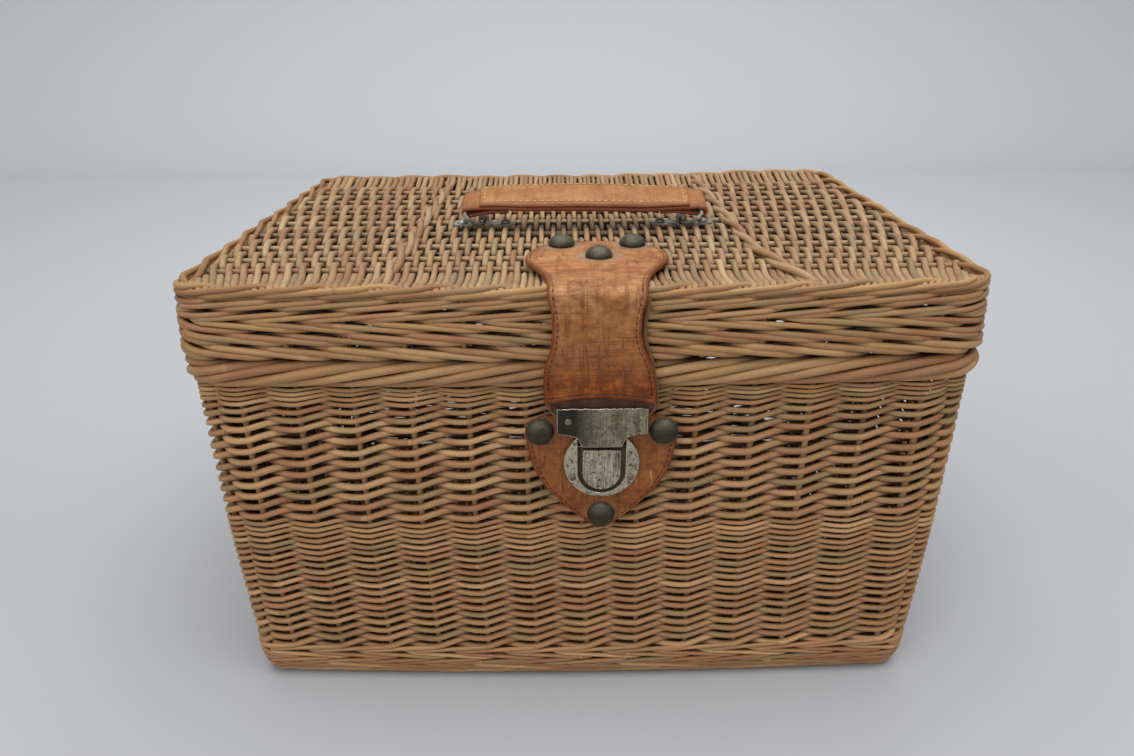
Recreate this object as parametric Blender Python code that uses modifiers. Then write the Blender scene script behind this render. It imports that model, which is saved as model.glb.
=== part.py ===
"""A wicker picnic basket: tapered body, hinged box lid, leather strap with a hasp and lock, leather handle.

The frame is metres with +Z up and +X to the right. The front faces -Y, and the origin lies on the
ground under the middle of the basket. Every woven panel is one closed solid of its outer shape.
"""
import math

import bmesh
import bpy
from mathutils import Matrix, Vector

MM = 0.001

# Clearances and cutter lengths
GAP = 0.3 * MM
OVERRUN = 4 * MM
WELD = 0.001 * MM

# Plan of the basket, measured round the lower edge of the lid
WIDTH = 400 * MM
DEPTH = 300 * MM
CORNER_RADIUS = 22 * MM
FRONT_BOW = 5.5 * MM
CORNER_STEPS = 5
BOW_STEPS = 8

# Woven body
BODY_HEIGHT = 190 * MM
BODY_INSET = 3.7 * MM
BODY_TAPER = 6.8 * MM
SIDING_THICKNESS = 9 * MM
SPLIT_BELOW_PATCH = 0.7 * MM
FOOT_HEIGHT = 12 * MM
FOOT_BULGE = 0.8 * MM
FOOT_ROUND = 2 * MM
BASE_THICKNESS = 7 * MM
BASE_LIFT = 3 * MM
SIDING_STEPS = 3

# Border of three stacked rods
BORDER_ROD = 5 * MM
BORDER_LAP = 1.2 * MM
BORDER_OUT = 1 * MM
BORDER_STEP = 1.1 * MM
BORDER_INNER_INSET = 11.5 * MM

# Lid
LID_HEIGHT = 35 * MM
LID_FLARE = 2.3 * MM
SKIRT_THICKNESS = 7.2 * MM
SKIRT_ROUND = 1.5 * MM
EDGE_ROD_RADIUS = 3.2 * MM
EDGE_ROD_INSET = 3.8 * MM
PANEL_THICKNESS = 7.5 * MM
RIB_RADIUS = 3.75 * MM
RIB_SPACING = 204 * MM
RIB_SHIFT = 6 * MM

# Hinge of the lid
HINGE_ROD_RADIUS = 4 * MM
HINGE_PROUD = 1.3 * MM
HINGE_ROD_LENGTH = 372 * MM
HINGE_BED_MARGIN = 3.5 * MM
LOOP_RADIUS = 1.9 * MM
LOOP_CLEARANCE = 0.4 * MM
LOOP_SPACING = 190 * MM
LOOP_CORNER = 2.9 * MM
LOOP_INNER_CLEARANCE = 1.3 * MM
LOOP_NOTCH_SIDE = 0.7 * MM
LOOP_NOTCH_TOP = 1 * MM

# Dome nails and burrs
NAIL_RADIUS = 7 * MM
NAIL_DOME = 5.5 * MM
NAIL_SHANK_RADIUS = 1.3 * MM
NAIL_TAIL = 2.4 * MM
BURR_RADIUS = 4.2 * MM
BURR_THICKNESS = 1.2 * MM
SHANK_CLEARANCE = 0.3 * MM

# Leather of the front strap
STRAP_X = 9 * MM
STRAP_THICKNESS = 3 * MM
LINING_THICKNESS = 1.3 * MM
STRAP_BACK_REACH = 76 * MM
STRAP_SHOULDER_WIDTH = 74 * MM
STRAP_WAIST_WIDTH = 41.5 * MM
STRAP_FOLD_WIDTH = 46 * MM
STRAP_FOOT_WIDTH = 54 * MM
STRAP_BELOW_BORDER = 4.3 * MM
STRAP_LIP_ARCH = 4 * MM
LINING_NAIL_CLEARANCE = 1 * MM
STRAP_NAIL_SPACING = 38 * MM
STRAP_NAIL_BACK = 6.5 * MM
STRAP_NAIL_STAGGER = 24 * MM

# Hasp
HASP_WIDTH = 44.4 * MM
HASP_BELOW_STRAP = 2.5 * MM
HASP_BAR_HEIGHT = 14 * MM
HASP_THICKNESS = 1.5 * MM
HASP_SHOULDER_WIDTH = 32 * MM
HASP_SHOULDER_DROP = 1.6 * MM
HASP_TONGUE_WIDTH = 19.6 * MM
HASP_TONGUE_DROP = 7.4 * MM
HASP_NIB_WIDTH = 14 * MM
HASP_NIB_HEIGHT = 1.6 * MM
HASP_NIB_DEPTH = 3.2 * MM
HASP_RIVET_SPACING = 33 * MM

# Lock
BUTTON_BELOW_HASP = 2.5 * MM
LOCK_RADIUS = 18.9 * MM
LOCK_PLATE_THICKNESS = 2.2 * MM
BUTTON_SIDE_CLEARANCE = 2.5 * MM
BUTTON_END_CLEARANCE = 0.6 * MM
CASE_WALL = 0.8 * MM
CASE_DEPTH = 9 * MM
CASE_MARGIN = 1 * MM
CASE_TOP_RISE = 14 * MM
BUTTON_WIDTH = 19 * MM
BUTTON_TOP_RISE = 8 * MM
BUTTON_DROP = 14.5 * MM
BUTTON_THICKNESS = 2.6 * MM
BUTTON_PROUD = 0.5 * MM
BUTTON_STEM_WIDTH = 9 * MM
BUTTON_STEM_DROP = 7 * MM
BUTTON_TRAVEL = 1.4 * MM
BUTTON_EDGE = 0.4 * MM
SPRING_RADIUS = 2 * MM
SPRING_WIRE_RADIUS = 0.35 * MM
SPRING_TURNS = 5
SPRING_STEPS = 8
LOCK_RIVET_SPACING = 29 * MM
LOCK_RIVET_DROP = 7.6 * MM
SMALL_RIVET_RADIUS = 1.8 * MM
SMALL_RIVET_DOME = 0.7 * MM
SMALL_RIVET_SHANK_RADIUS = 1 * MM
SMALL_RIVET_TAIL = 1 * MM

# Leather patch under the lock
PATCH_THICKNESS = 3 * MM
PATCH_BELOW_HASP_TOP = 6.5 * MM
PATCH_TIP_MARGIN = 1.6 * MM
PATCH_EAR_MARGIN = 0.5 * MM
PATCH_TOP_MARGIN = 1 * MM
HASP_NAIL_CLEARANCE = 1.3 * MM
LOCK_NAIL_CLEARANCE = 4.4 * MM

# Handle
HANDLE_X = 3 * MM
HANDLE_Y = -20 * MM
HANDLE_TIP_DEG = 18
SADDLE_SPACING = 120 * MM
RING_RADIUS = 15 * MM
RING_WIRE_RADIUS = 1.2 * MM
RING_LEAN_DEG = 44
RING_SWAY_SHARE = 0.96
RING_LID_CLEARANCE = 0.7 * MM
RING_STEPS = 16
RING_CORNER = 1.5 * MM
PIVOT_DROP = 3 * MM
GRIP_WIDTH = 23.4 * MM
GRIP_LEATHER = 2 * MM
GRIP_THICKNESS = 3.2 * MM
GRIP_ARCH = 3 * MM
GRIP_LAP = 25 * MM
GRIP_LAP_END = 3 * MM
GRIP_TOP_THICKNESS = 1.6 * MM
GRIP_TOP_LENGTH = 124 * MM
GRIP_TOP_MARGIN = 0.4 * MM
EYE_CLEARANCE = 0.3 * MM
SADDLE_THICKNESS = 1 * MM
SADDLE_LENGTH = 38 * MM
SADDLE_EAR_WIDTH = 10 * MM
SADDLE_WAIST_WIDTH = 6 * MM
SADDLE_SIDE_PLAY = 1.6 * MM
SADDLE_TOP_PLAY = 0.6 * MM
SADDLE_RIVET_REACH = 13 * MM
SADDLE_RIVET_RADIUS = 3 * MM
SADDLE_RIVET_DOME = 2.2 * MM
SADDLE_RIVET_SHANK_RADIUS = 1.1 * MM
SADDLE_RIVET_TAIL = 2 * MM

# Facets of round pieces
ROUND_STEPS = 20
DOME_STEPS = 5
SMALL_STEPS = 10
TUBE_RESOLUTION = 2

# Heights worked out from the sizes above
BORDER_BASE = BODY_HEIGHT + GAP
BORDER_TOP = BORDER_BASE + 3 * BORDER_ROD
LID_SEAT = BORDER_TOP + GAP
LID_TOP = LID_SEAT + LID_HEIGHT
SKIRT_TOP = LID_TOP - 2 * EDGE_ROD_RADIUS - GAP
HALF_WIDTH = WIDTH / 2
HALF_DEPTH = DEPTH / 2

# How far the strap stands out in front, and the hinge loops behind
LINING_BACK = BORDER_OUT + FRONT_BOW + GAP
STRAP_BACK = LINING_BACK + LINING_THICKNESS + GAP
FRONT_REACH = HALF_DEPTH + STRAP_BACK + STRAP_THICKNESS
HINGE_BEHIND = HALF_DEPTH + HINGE_PROUD - HINGE_ROD_RADIUS
LOOP_OFFSET = HINGE_ROD_RADIUS + LOOP_CLEARANCE + LOOP_RADIUS
LOOP_REACH = HINGE_BEHIND - HALF_DEPTH + BORDER_INNER_INSET + LOOP_RADIUS + LOOP_INNER_CLEARANCE
LOOP_BOTTOM = BORDER_TOP - BORDER_ROD - LOOP_RADIUS - LOOP_CLEARANCE
REAR_REACH = HINGE_BEHIND + LOOP_OFFSET + LOOP_RADIUS
PLAN_Y = (FRONT_REACH - REAR_REACH) / 2
HINGE_Y = PLAN_Y + HINGE_BEHIND
HINGE_Z = LID_SEAT + HINGE_ROD_RADIUS

# Heights and widths of the hasp, the lock and the patch, each hung from the one above
STRAP_LIP = BORDER_BASE - STRAP_BELOW_BORDER
HASP_TOP = STRAP_LIP - HASP_BELOW_STRAP
HASP_TIP = HASP_TOP - HASP_BAR_HEIGHT - HASP_TONGUE_DROP
LOCK_HEIGHT = HASP_TIP - BUTTON_BELOW_HASP - BUTTON_TOP_RISE
PATCH_TOP = HASP_TOP - PATCH_BELOW_HASP_TOP
PATCH_SIDE_NAIL = PATCH_TOP - PATCH_TOP_MARGIN - NAIL_RADIUS
PATCH_LOW_NAIL = LOCK_HEIGHT - LOCK_RADIUS - LOCK_NAIL_CLEARANCE - NAIL_RADIUS
PATCH_BOTTOM = PATCH_LOW_NAIL - NAIL_RADIUS - PATCH_TIP_MARGIN
PATCH_NAIL_SPACING = HASP_WIDTH + 2 * (HASP_NAIL_CLEARANCE + NAIL_RADIUS)
PATCH_WIDTH = PATCH_NAIL_SPACING + 2 * (NAIL_RADIUS + PATCH_EAR_MARGIN)
LINING_END_WIDTH = PATCH_NAIL_SPACING - 2 * (NAIL_RADIUS + LINING_NAIL_CLEARANCE)
SIDING_SPLIT = PATCH_BOTTOM - SPLIT_BELOW_PATCH
LOCK_MOUTH_WIDTH = BUTTON_WIDTH + 2 * BUTTON_SIDE_CLEARANCE
LOCK_MOUTH_DROP = BUTTON_DROP + BUTTON_TRAVEL + BUTTON_END_CLEARANCE

# Planes of the front leather and lock
LINING_BACK_Y = PLAN_Y - HALF_DEPTH - LINING_BACK
STRAP_BACK_Y = PLAN_Y - HALF_DEPTH - STRAP_BACK
STRAP_AXIS_Y = STRAP_BACK_Y - STRAP_THICKNESS / 2
STRAP_AXIS_Z = LID_TOP + GAP + STRAP_THICKNESS / 2
PATCH_BACK_Y = PLAN_Y - HALF_DEPTH + BODY_INSET - FRONT_BOW - GAP
PATCH_FRONT_Y = PATCH_BACK_Y - PATCH_THICKNESS
PLATE_BACK_Y = PATCH_FRONT_Y - GAP

# How a leaning ring swings under its pivot, and the room that its saddle leaves it
LEAN = math.radians(RING_LEAN_DEG)
TIP = math.radians(HANDLE_TIP_DEG)
RING_SWAY = RING_RADIUS * math.sin(LEAN) * RING_SWAY_SHARE
RING_DROP = RING_RADIUS * math.cos(LEAN) - PIVOT_DROP
RING_SWING = math.hypot(RING_RADIUS * math.sin(TIP), RING_RADIUS * math.cos(LEAN) * math.cos(TIP))
PIVOT_HEIGHT = RING_SWING - PIVOT_DROP * math.cos(TIP) + RING_WIRE_RADIUS + RING_LID_CLEARANCE
SADDLE_CHANNEL_WIDTH = 2 * RING_WIRE_RADIUS + SADDLE_SIDE_PLAY
SADDLE_CHANNEL_HEIGHT = PIVOT_HEIGHT - GAP - RING_DROP * math.cos(TIP) + RING_WIRE_RADIUS + SADDLE_TOP_PLAY
HANDLE_PIVOT = Vector((HANDLE_X, PLAN_Y + HANDLE_Y, LID_TOP + PIVOT_HEIGHT))

# Turns a shape drawn in X and Y so that it stands in X and Z, with its own +Z pointing to the front
TO_FRONT = Matrix.Rotation(math.radians(90), 4, "X")

# Half of the strap's outline on the lid, as shares of half its shoulder width and of its run to the fold
ANCHOR_SHARES = ((0, 0), (0.62, 0.05), (0.89, 0.2), (1, 0.4), (0.94, 0.49), (0.8, 0.62), (0.68, 0.82))

# The hanging strap's edge, as shares of its drop and of the way from its waist's width to its foot's
SWELL_SHARES = ((0.2, 0), (0.36, 0), (0.5, 0.2), (0.64, 0.74), (0.85, 1))

# The arched lip, as shares of half the foot's width and of the arch
LIP_SHARES = ((0.5, 0.7), (0, 1))

# The hasp's tongue, as shares of half its width and of its drop
TONGUE_SHARES = ((1.14, 0.6), (1, 1))

# Half of the patch's outline, as shares of half its width and of the drop below its top
PATCH_SHARES = ((0, 0.02), (0.6, 0), (0.83, 0.01), (0.98, 0.07), (1, 0.16), (0.965, 0.3),
                (0.91, 0.45), (0.74, 0.64), (0.44, 0.83), (0.26, 0.92), (0.12, 0.985), (0, 1))


def clear_scene():
    """Removes whatever the file holds."""
    for ob in list(bpy.data.objects):
        bpy.data.objects.remove(ob, do_unlink=True)


def collection(name):
    """A new collection under the scene's own."""
    made = bpy.data.collections.new(name)
    bpy.context.scene.collection.children.link(made)
    return made


def material(name, colour, roughness, metallic=0.0):
    """A Principled BSDF material."""
    made = bpy.data.materials.new(name)
    made.use_nodes = True
    shader = made.node_tree.nodes["Principled BSDF"]
    shader.inputs["Base Color"].default_value = (*colour, 1.0)
    shader.inputs["Roughness"].default_value = roughness
    shader.inputs["Metallic"].default_value = metallic
    made.diffuse_color = (*colour, 1.0)
    return made


def add_mesh(name, mesh, mat, matrix=Matrix(), group=None):
    """Links a mesh as a named object of the basket, or of another group."""
    ob = bpy.data.objects.new(name, mesh)
    (group or PARTS).objects.link(ob)
    ob.matrix_world = matrix
    if mat:
        mesh.materials.clear()
        mesh.materials.append(mat)
    return ob


def curve_data(name, loops, flat, cyclic=True):
    """Curve data with one POLY spline for each list of points."""
    data = bpy.data.curves.new(name, "CURVE")
    data.dimensions = "2D" if flat else "3D"
    for points in loops:
        spline = data.splines.new("POLY")
        spline.points.add(len(points) - 1)
        for slot, point in zip(spline.points, points):
            slot.co = (*point, 0.0, 1.0) if len(point) == 2 else (*point, 1.0)
        spline.use_cyclic_u = cyclic
    return data


def curve_mesh(data, helpers=()):
    """Turns curve data into a closed mesh whose faces point outwards."""
    ob = bpy.data.objects.new(data.name, data)
    bpy.context.scene.collection.objects.link(ob)
    graph = bpy.context.evaluated_depsgraph_get()
    mesh = bpy.data.meshes.new_from_object(ob.evaluated_get(graph))
    work = bmesh.new()
    work.from_mesh(mesh)
    bmesh.ops.remove_doubles(work, verts=work.verts, dist=WELD)
    if work.calc_volume(signed=True) < 0:
        bmesh.ops.reverse_faces(work, faces=work.faces)
    work.to_mesh(mesh)
    work.free()
    for spent in (ob, *helpers):
        bpy.data.objects.remove(spent)
    return mesh


def tube(name, points, radius, mat, cyclic=False):
    """A round rod along a line of points."""
    data = curve_data(name, [points], flat=False, cyclic=cyclic)
    data.bevel_depth = radius
    data.bevel_resolution = TUBE_RESOLUTION
    data.use_fill_caps = not cyclic
    return add_mesh(name, curve_mesh(data), mat)


def plate(name, loops, thickness, mat, matrix=Matrix(), group=None):
    """A flat outline with holes, from its own Z 0 up to the thickness."""
    data = curve_data(name, loops, flat=True)
    data.fill_mode = "BOTH"
    data.extrude = thickness / 2
    mesh = curve_mesh(data)
    mesh.transform(Matrix.Translation((0, 0, thickness / 2)))
    return add_mesh(name, mesh, mat, matrix, group)


def turned(name, profile, steps, mat, matrix=Matrix()):
    """A solid of revolution about its own Z, from a profile that runs down its outer side."""
    mesh = bpy.data.meshes.new(name)
    edges = [(k, k + 1) for k in range(len(profile) - 1)]
    mesh.from_pydata([(r, 0, z) for r, z in profile], edges, [])
    ob = add_mesh(name, mesh, mat, matrix)
    screw = ob.modifiers.new("Screw", "SCREW")
    screw.steps = steps
    screw.render_steps = steps
    screw.use_merge_vertices = True
    screw.merge_threshold = WELD
    return ob


def ring(name, section, mat):
    """Sweeps a closed section of (offset, height) points round the plan of the basket."""
    profile = bpy.data.objects.new(name + " section", curve_data(name + " section", [section], flat=True))
    bpy.context.scene.collection.objects.link(profile)
    path = [(x, y, 0) for x, y in plan_path(0)]
    data = curve_data(name, [path], flat=False)
    data.bevel_mode = "OBJECT"
    data.bevel_object = profile
    data.twist_mode = "Z_UP"
    return add_mesh(name, curve_mesh(data, helpers=[profile]), mat)


def box_cutter(name, low, high):
    """A box between two corners, kept as a cutter."""
    mesh = bpy.data.meshes.new(name)
    work = bmesh.new()
    size = [b - a for a, b in zip(low, high)]
    middle = [(a + b) / 2 for a, b in zip(low, high)]
    bmesh.ops.create_cube(work, size=1, matrix=Matrix.LocRotScale(middle, None, size))
    work.to_mesh(mesh)
    work.free()
    return as_cutter(add_mesh(name, mesh, None, group=CUTTERS))


def pin_cutter(name, radius, place, reach, upright):
    """A round hole through a place, along Z or along Y, kept as a cutter."""
    mesh = bpy.data.meshes.new(name)
    work = bmesh.new()
    bmesh.ops.create_cone(work, cap_ends=True, segments=SMALL_STEPS, radius1=radius, radius2=radius,
                          depth=2 * reach)
    work.to_mesh(mesh)
    work.free()
    turn = Matrix() if upright else TO_FRONT
    return as_cutter(add_mesh(name, mesh, None, Matrix.Translation(place) @ turn, CUTTERS))


def as_cutter(ob):
    """Hides a cutter from the finished basket."""
    ob.hide_render = True
    ob.display_type = "WIRE"
    return ob


def cut(ob, cutters, operation="DIFFERENCE"):
    """Cuts an object with each of the cutters in turn."""
    for cutter in cutters:
        step = ob.modifiers.new(cutter.name, "BOOLEAN")
        step.operation = operation
        step.solver = "EXACT"
        step.object = cutter
    return ob


def arc(centre, radius, start_deg, end_deg, steps):
    """Points along an arc, ends included."""
    angles = [math.radians(start_deg + (end_deg - start_deg) * k / steps) for k in range(steps + 1)]
    return [(centre[0] + radius * math.cos(a), centre[1] + radius * math.sin(a)) for a in angles]


def bow(x):
    """How far the front bulges forward at a place along it."""
    return FRONT_BOW * max(0.0, 1 - (x / HALF_WIDTH) ** 2)


def front_y(x, inset):
    """The Y of the basket's front at a place along it, some way inside the plan."""
    return PLAN_Y - HALF_DEPTH + inset - bow(x)


def plan_corner(side_x, side_y, start_deg):
    """Points round one corner of the plan. A front corner bulges with the front."""
    centre = (side_x * (HALF_WIDTH - CORNER_RADIUS), PLAN_Y + side_y * (HALF_DEPTH - CORNER_RADIUS))
    points = arc(centre, CORNER_RADIUS, start_deg, start_deg + 90, CORNER_STEPS)
    if side_y > 0:
        return points
    return [(x, y - bow(x)) for x, y in points]


def plan_path(inset):
    """The closed plan some way inside its outer line, anticlockwise from the front left corner."""
    reach = HALF_WIDTH - CORNER_RADIUS
    places = [reach * (2 * k / BOW_STEPS - 1) for k in range(1, BOW_STEPS)]
    front = [(x, front_y(x, 0)) for x in places]
    outer = [*plan_corner(-1, -1, 180), *front, *plan_corner(1, -1, 270)]
    outer += [*plan_corner(1, 1, 0), *plan_corner(-1, 1, 90)]
    made = []
    for k, point in enumerate(outer):
        before = (Vector(point) - Vector(outer[k - 1])).normalized()
        after = (Vector(outer[(k + 1) % len(outer)]) - Vector(point)).normalized()
        along = (before + after).normalized()
        made.append((point[0] - inset * along.y, point[1] + inset * along.x))
    return made


def clip(points, limit, keep_above):
    """Keeps the part of a convex outline on one side of an X limit."""
    def inside(p):
        return p[0] >= limit if keep_above else p[0] <= limit

    kept = []
    for a, b in zip(points, points[1:] + points[:1]):
        if inside(a):
            kept.append(a)
        if inside(a) != inside(b):
            share = (limit - a[0]) / (b[0] - a[0])
            kept.append((limit, a[1] + share * (b[1] - a[1])))
    return kept


def mirrored(half):
    """A closed outline from its right half. A point on the middle line is kept once."""
    left = [(-x, y) for x, y in reversed(half) if x > WELD]
    return list(half) + left


def body_inset(height):
    """How far the body's outer face lies inside the plan at a height."""
    return BODY_INSET + BODY_TAPER * (1 - height / BODY_HEIGHT) ** 2


def woven_body():
    """Foot wale, base, two zones of siding and the border."""
    foot = body_inset(0)
    outer = foot - FOOT_BULGE
    inner = foot + SIDING_THICKNESS
    top = FOOT_HEIGHT
    ring("foot_wale", [(-inner, 0), (-inner, top), (-outer - FOOT_ROUND, top), (-outer, top - FOOT_ROUND),
                       (-outer, FOOT_ROUND), (-outer - FOOT_ROUND, 0)], WILLOW)
    lift = Matrix.Translation((0, 0, BASE_LIFT))
    plate("base_weave", [plan_path(inner + GAP)], BASE_THICKNESS, WILLOW, lift)
    siding("siding_lower", FOOT_HEIGHT + GAP, SIDING_SPLIT)
    upper = siding("siding_upper", SIDING_SPLIT + GAP, BODY_HEIGHT)
    cut(upper, [*lock_openings(), *(nail_hole(place, False) for place in patch_nail_places())])
    border()


def siding(name, low, high):
    """One zone of the body's woven wall, following the taper."""
    heights = [low + (high - low) * k / SIDING_STEPS for k in range(SIDING_STEPS + 1)]
    inner = [(-body_inset(z) - SIDING_THICKNESS, z) for z in heights]
    outer = [(-body_inset(z), z) for z in heights]
    return ring(name, inner + outer[::-1], WILLOW)


def border():
    """Three stacked rods round the rim, with a hole under the top one for each hinge loop."""
    outer = []
    for level in range(3):
        reach = BORDER_OUT - BORDER_STEP * (2 - level)
        low = BORDER_BASE + level * BORDER_ROD
        high = low + BORDER_ROD
        outer += [(reach - BORDER_LAP, low), (reach, low + BORDER_LAP), (reach, high - BORDER_LAP)]
    outer.append((BORDER_OUT - BORDER_LAP, BORDER_TOP))
    inner = [(-BORDER_INNER_INSET, BORDER_BASE), (-BORDER_INNER_INSET, BORDER_TOP)]
    made = ring("body_border", inner + outer[::-1], ROD_WILLOW)
    holes = []
    for side in (-1, 1):
        place = (side * LOOP_SPACING / 2, HINGE_Y, LOOP_BOTTOM)
        reach = BORDER_INNER_INSET + OVERRUN
        holes.append(pin_cutter(f"loop hole {side}", LOOP_RADIUS + GAP, place, reach, False))
    cut(made, holes)


def hinge_loops():
    """Two willow loops round the lid's hinge rod and the border's top rod."""
    top = HINGE_Z + LOOP_OFFSET
    back = HINGE_Y + LOOP_OFFSET
    front = HINGE_Y - LOOP_REACH
    low = LOOP_BOTTOM
    line = arc((HINGE_Y, HINGE_Z), LOOP_OFFSET, 0, 90, CORNER_STEPS)
    line += arc((front + LOOP_CORNER, top - LOOP_CORNER), LOOP_CORNER, 90, 180, CORNER_STEPS)
    line += arc((front + LOOP_CORNER, low + LOOP_CORNER), LOOP_CORNER, 180, 270, CORNER_STEPS)
    line += arc((back - LOOP_CORNER, low + LOOP_CORNER), LOOP_CORNER, 270, 360, CORNER_STEPS)
    for name, side in (("left", -1), ("right", 1)):
        points = [(side * LOOP_SPACING / 2, y, z) for y, z in line]
        tube(f"hinge_loop_{name}", points, LOOP_RADIUS, ROD_WILLOW, cyclic=True)


def lid_frame():
    """Skirt, the four edge rods, the hinge rod and the two ribs."""
    bottom = LID_SEAT
    outer = [(-SKIRT_ROUND, bottom), (0, bottom + SKIRT_ROUND), (-LID_FLARE, SKIRT_TOP)]
    inner = [(-SKIRT_THICKNESS - SKIRT_ROUND, bottom), (-SKIRT_THICKNESS - LID_FLARE, SKIRT_TOP)]
    skirt = ring("lid_skirt", inner + outer[::-1], WILLOW)
    cut(skirt, [hinge_bed(), *loop_notches()])
    rod = [(side * HINGE_ROD_LENGTH / 2, HINGE_Y, HINGE_Z) for side in (-1, 1)]
    tube("lid_hinge_rod", rod, HINGE_ROD_RADIUS, ROD_WILLOW)
    edge_rods()
    for name, side in (("left", -1), ("right", 1)):
        x = RIB_SHIFT + side * RIB_SPACING / 2
        clear = EDGE_ROD_INSET + 2 * EDGE_ROD_RADIUS + GAP
        ends = (front_y(x, clear), PLAN_Y + HALF_DEPTH - clear)
        tube(f"lid_rib_{name}", [(x, y, LID_TOP - RIB_RADIUS) for y in ends], RIB_RADIUS, ROD_WILLOW)


def hinge_bed():
    """The room for the hinge rod along the lower back edge of the skirt."""
    half = HINGE_ROD_LENGTH / 2 + HINGE_BED_MARGIN
    low = (-half, HINGE_Y - HINGE_ROD_RADIUS - GAP, LID_SEAT - OVERRUN)
    high = (half, PLAN_Y + HALF_DEPTH + OVERRUN, HINGE_Z + HINGE_ROD_RADIUS + GAP)
    return box_cutter("hinge bed", low, high)


def loop_notches():
    """A slot through the back of the skirt for each hinge loop."""
    made = []
    for side in (-1, 1):
        x = side * LOOP_SPACING / 2
        half = LOOP_RADIUS + LOOP_NOTCH_SIDE
        low = (x - half, HINGE_Y - LOOP_REACH, LID_SEAT - OVERRUN)
        top = HINGE_Z + LOOP_OFFSET + LOOP_RADIUS + LOOP_NOTCH_TOP
        made.append(box_cutter(f"loop notch {side}", low, (x + half, PLAN_Y + HALF_DEPTH + OVERRUN, top)))
    return made


def edge_rods():
    """Four frame rods round the lid's top edge, parted in the middle of each corner."""
    path = [Vector((x, y, LID_TOP - EDGE_ROD_RADIUS)) for x, y in plan_path(EDGE_ROD_INSET + EDGE_ROD_RADIUS)]
    corner = CORNER_STEPS + 1
    front_end = corner + BOW_STEPS - 1
    starts = [0, front_end, front_end + corner, front_end + 2 * corner, len(path)]
    for name, first, last in zip(("front", "right", "back", "left"), starts, starts[1:]):
        run = [path[k % len(path)] for k in range(first + CORNER_STEPS // 2, last + CORNER_STEPS // 2 + 2)]
        run[0] = middle_of(run[1], run[0])
        run[-1] = middle_of(run[-2], run[-1])
        tube(f"lid_edge_{name}", run, EDGE_ROD_RADIUS, ROD_WILLOW)


def middle_of(near, far):
    """The point halfway from one to another, less half a gap."""
    return near + (far - near).normalized() * ((far - near).length - GAP) / 2


def lid_panels():
    """Three woven panels of the lid's top, parted by the ribs."""
    outline = plan_path(EDGE_ROD_INSET + 2 * EDGE_ROD_RADIUS + GAP)
    clear = RIB_RADIUS + GAP
    left_rib = RIB_SHIFT - RIB_SPACING / 2
    right_rib = RIB_SHIFT + RIB_SPACING / 2
    at = Matrix.Translation((0, 0, LID_TOP - PANEL_THICKNESS))
    plate("lid_panel_left", [clip(outline, left_rib - clear, False)], PANEL_THICKNESS, WILLOW, at)
    middle = clip(clip(outline, left_rib + clear, True), right_rib - clear, False)
    panel = plate("lid_panel_middle", [middle], PANEL_THICKNESS, WILLOW, at)
    plate("lid_panel_right", [clip(outline, right_rib + clear, True)], PANEL_THICKNESS, WILLOW, at)
    holes = [nail_hole(place, True) for place in strap_nail_places()]
    holes += [saddle_hole(x) for x in saddle_rivet_places()]
    cut(panel, holes)


def dome_profile(radius, dome, shank, length):
    """Profile of a dome headed nail: its seat lies at height 0 and its shank points down."""
    head = [(radius * math.sin(a), dome * math.cos(a))
            for a in (math.radians(90 * k / DOME_STEPS) for k in range(DOME_STEPS + 1))]
    head[0] = (0, dome)
    return head + [(shank, 0), (shank, -length), (0, -length)]


def strap_nail_places():
    """Seats of the three nails on the lid: two at the back of the strap and one in front."""
    back = strap_back_y() - STRAP_NAIL_BACK
    z = LID_TOP + 2 * GAP + STRAP_THICKNESS
    spots = [(-STRAP_NAIL_SPACING / 2, back), (0, back - STRAP_NAIL_STAGGER), (STRAP_NAIL_SPACING / 2, back)]
    return [(STRAP_X + x, y, z) for x, y in spots]


def patch_nail_places():
    """Seats of the three nails on the patch: two at its upper corners and one at its tip."""
    y = PATCH_FRONT_Y - GAP
    return [(STRAP_X - PATCH_NAIL_SPACING / 2, y, PATCH_SIDE_NAIL),
            (STRAP_X + PATCH_NAIL_SPACING / 2, y, PATCH_SIDE_NAIL),
            (STRAP_X, y, PATCH_LOW_NAIL)]


def nail_hole(place, upright):
    """A hole for a nail's shank through what lies under its seat."""
    reach = STRAP_THICKNESS + SIDING_THICKNESS + BODY_TAPER + OVERRUN
    radius = NAIL_SHANK_RADIUS + SHANK_CLEARANCE
    return pin_cutter("nail hole", radius, place, reach, upright)


def nails_and_burrs():
    """The dome nails of the strap and the patch, each with a burr on the inside."""
    through_lid = STRAP_THICKNESS + PANEL_THICKNESS + 2 * GAP
    for name, place in zip(("left", "middle", "right"), strap_nail_places()):
        set_nail(f"strap_nail_{name}", f"strap_burr_{name}", Matrix.Translation(place), through_lid)
    for name, place in zip(("left", "right", "low"), patch_nail_places()):
        wall = body_inset(place[2]) + SIDING_THICKNESS
        through = front_y(place[0], wall) - place[1]
        set_nail(f"patch_nail_{name}", f"patch_burr_{name}", Matrix.Translation(place) @ TO_FRONT, through)


def set_nail(name, burr_name, matrix, through):
    """One dome nail whose tail passes a burr behind the woven wall."""
    profile = dome_profile(NAIL_RADIUS, NAIL_DOME, NAIL_SHANK_RADIUS, through + NAIL_TAIL)
    smooth_shade(turned(name, profile, ROUND_STEPS, BRONZE, matrix))
    inner = NAIL_SHANK_RADIUS + SHANK_CLEARANCE
    top = -through - GAP
    low = top - BURR_THICKNESS
    loop = [(inner, top), (BURR_RADIUS, top), (BURR_RADIUS, low), (inner, low), (inner, top)]
    turned(burr_name, loop, ROUND_STEPS, BRONZE, matrix)


def smooth_shade(ob):
    """Shades a round piece smooth, with its corners kept sharp."""
    ob.data.shade_smooth()
    return ob


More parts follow.
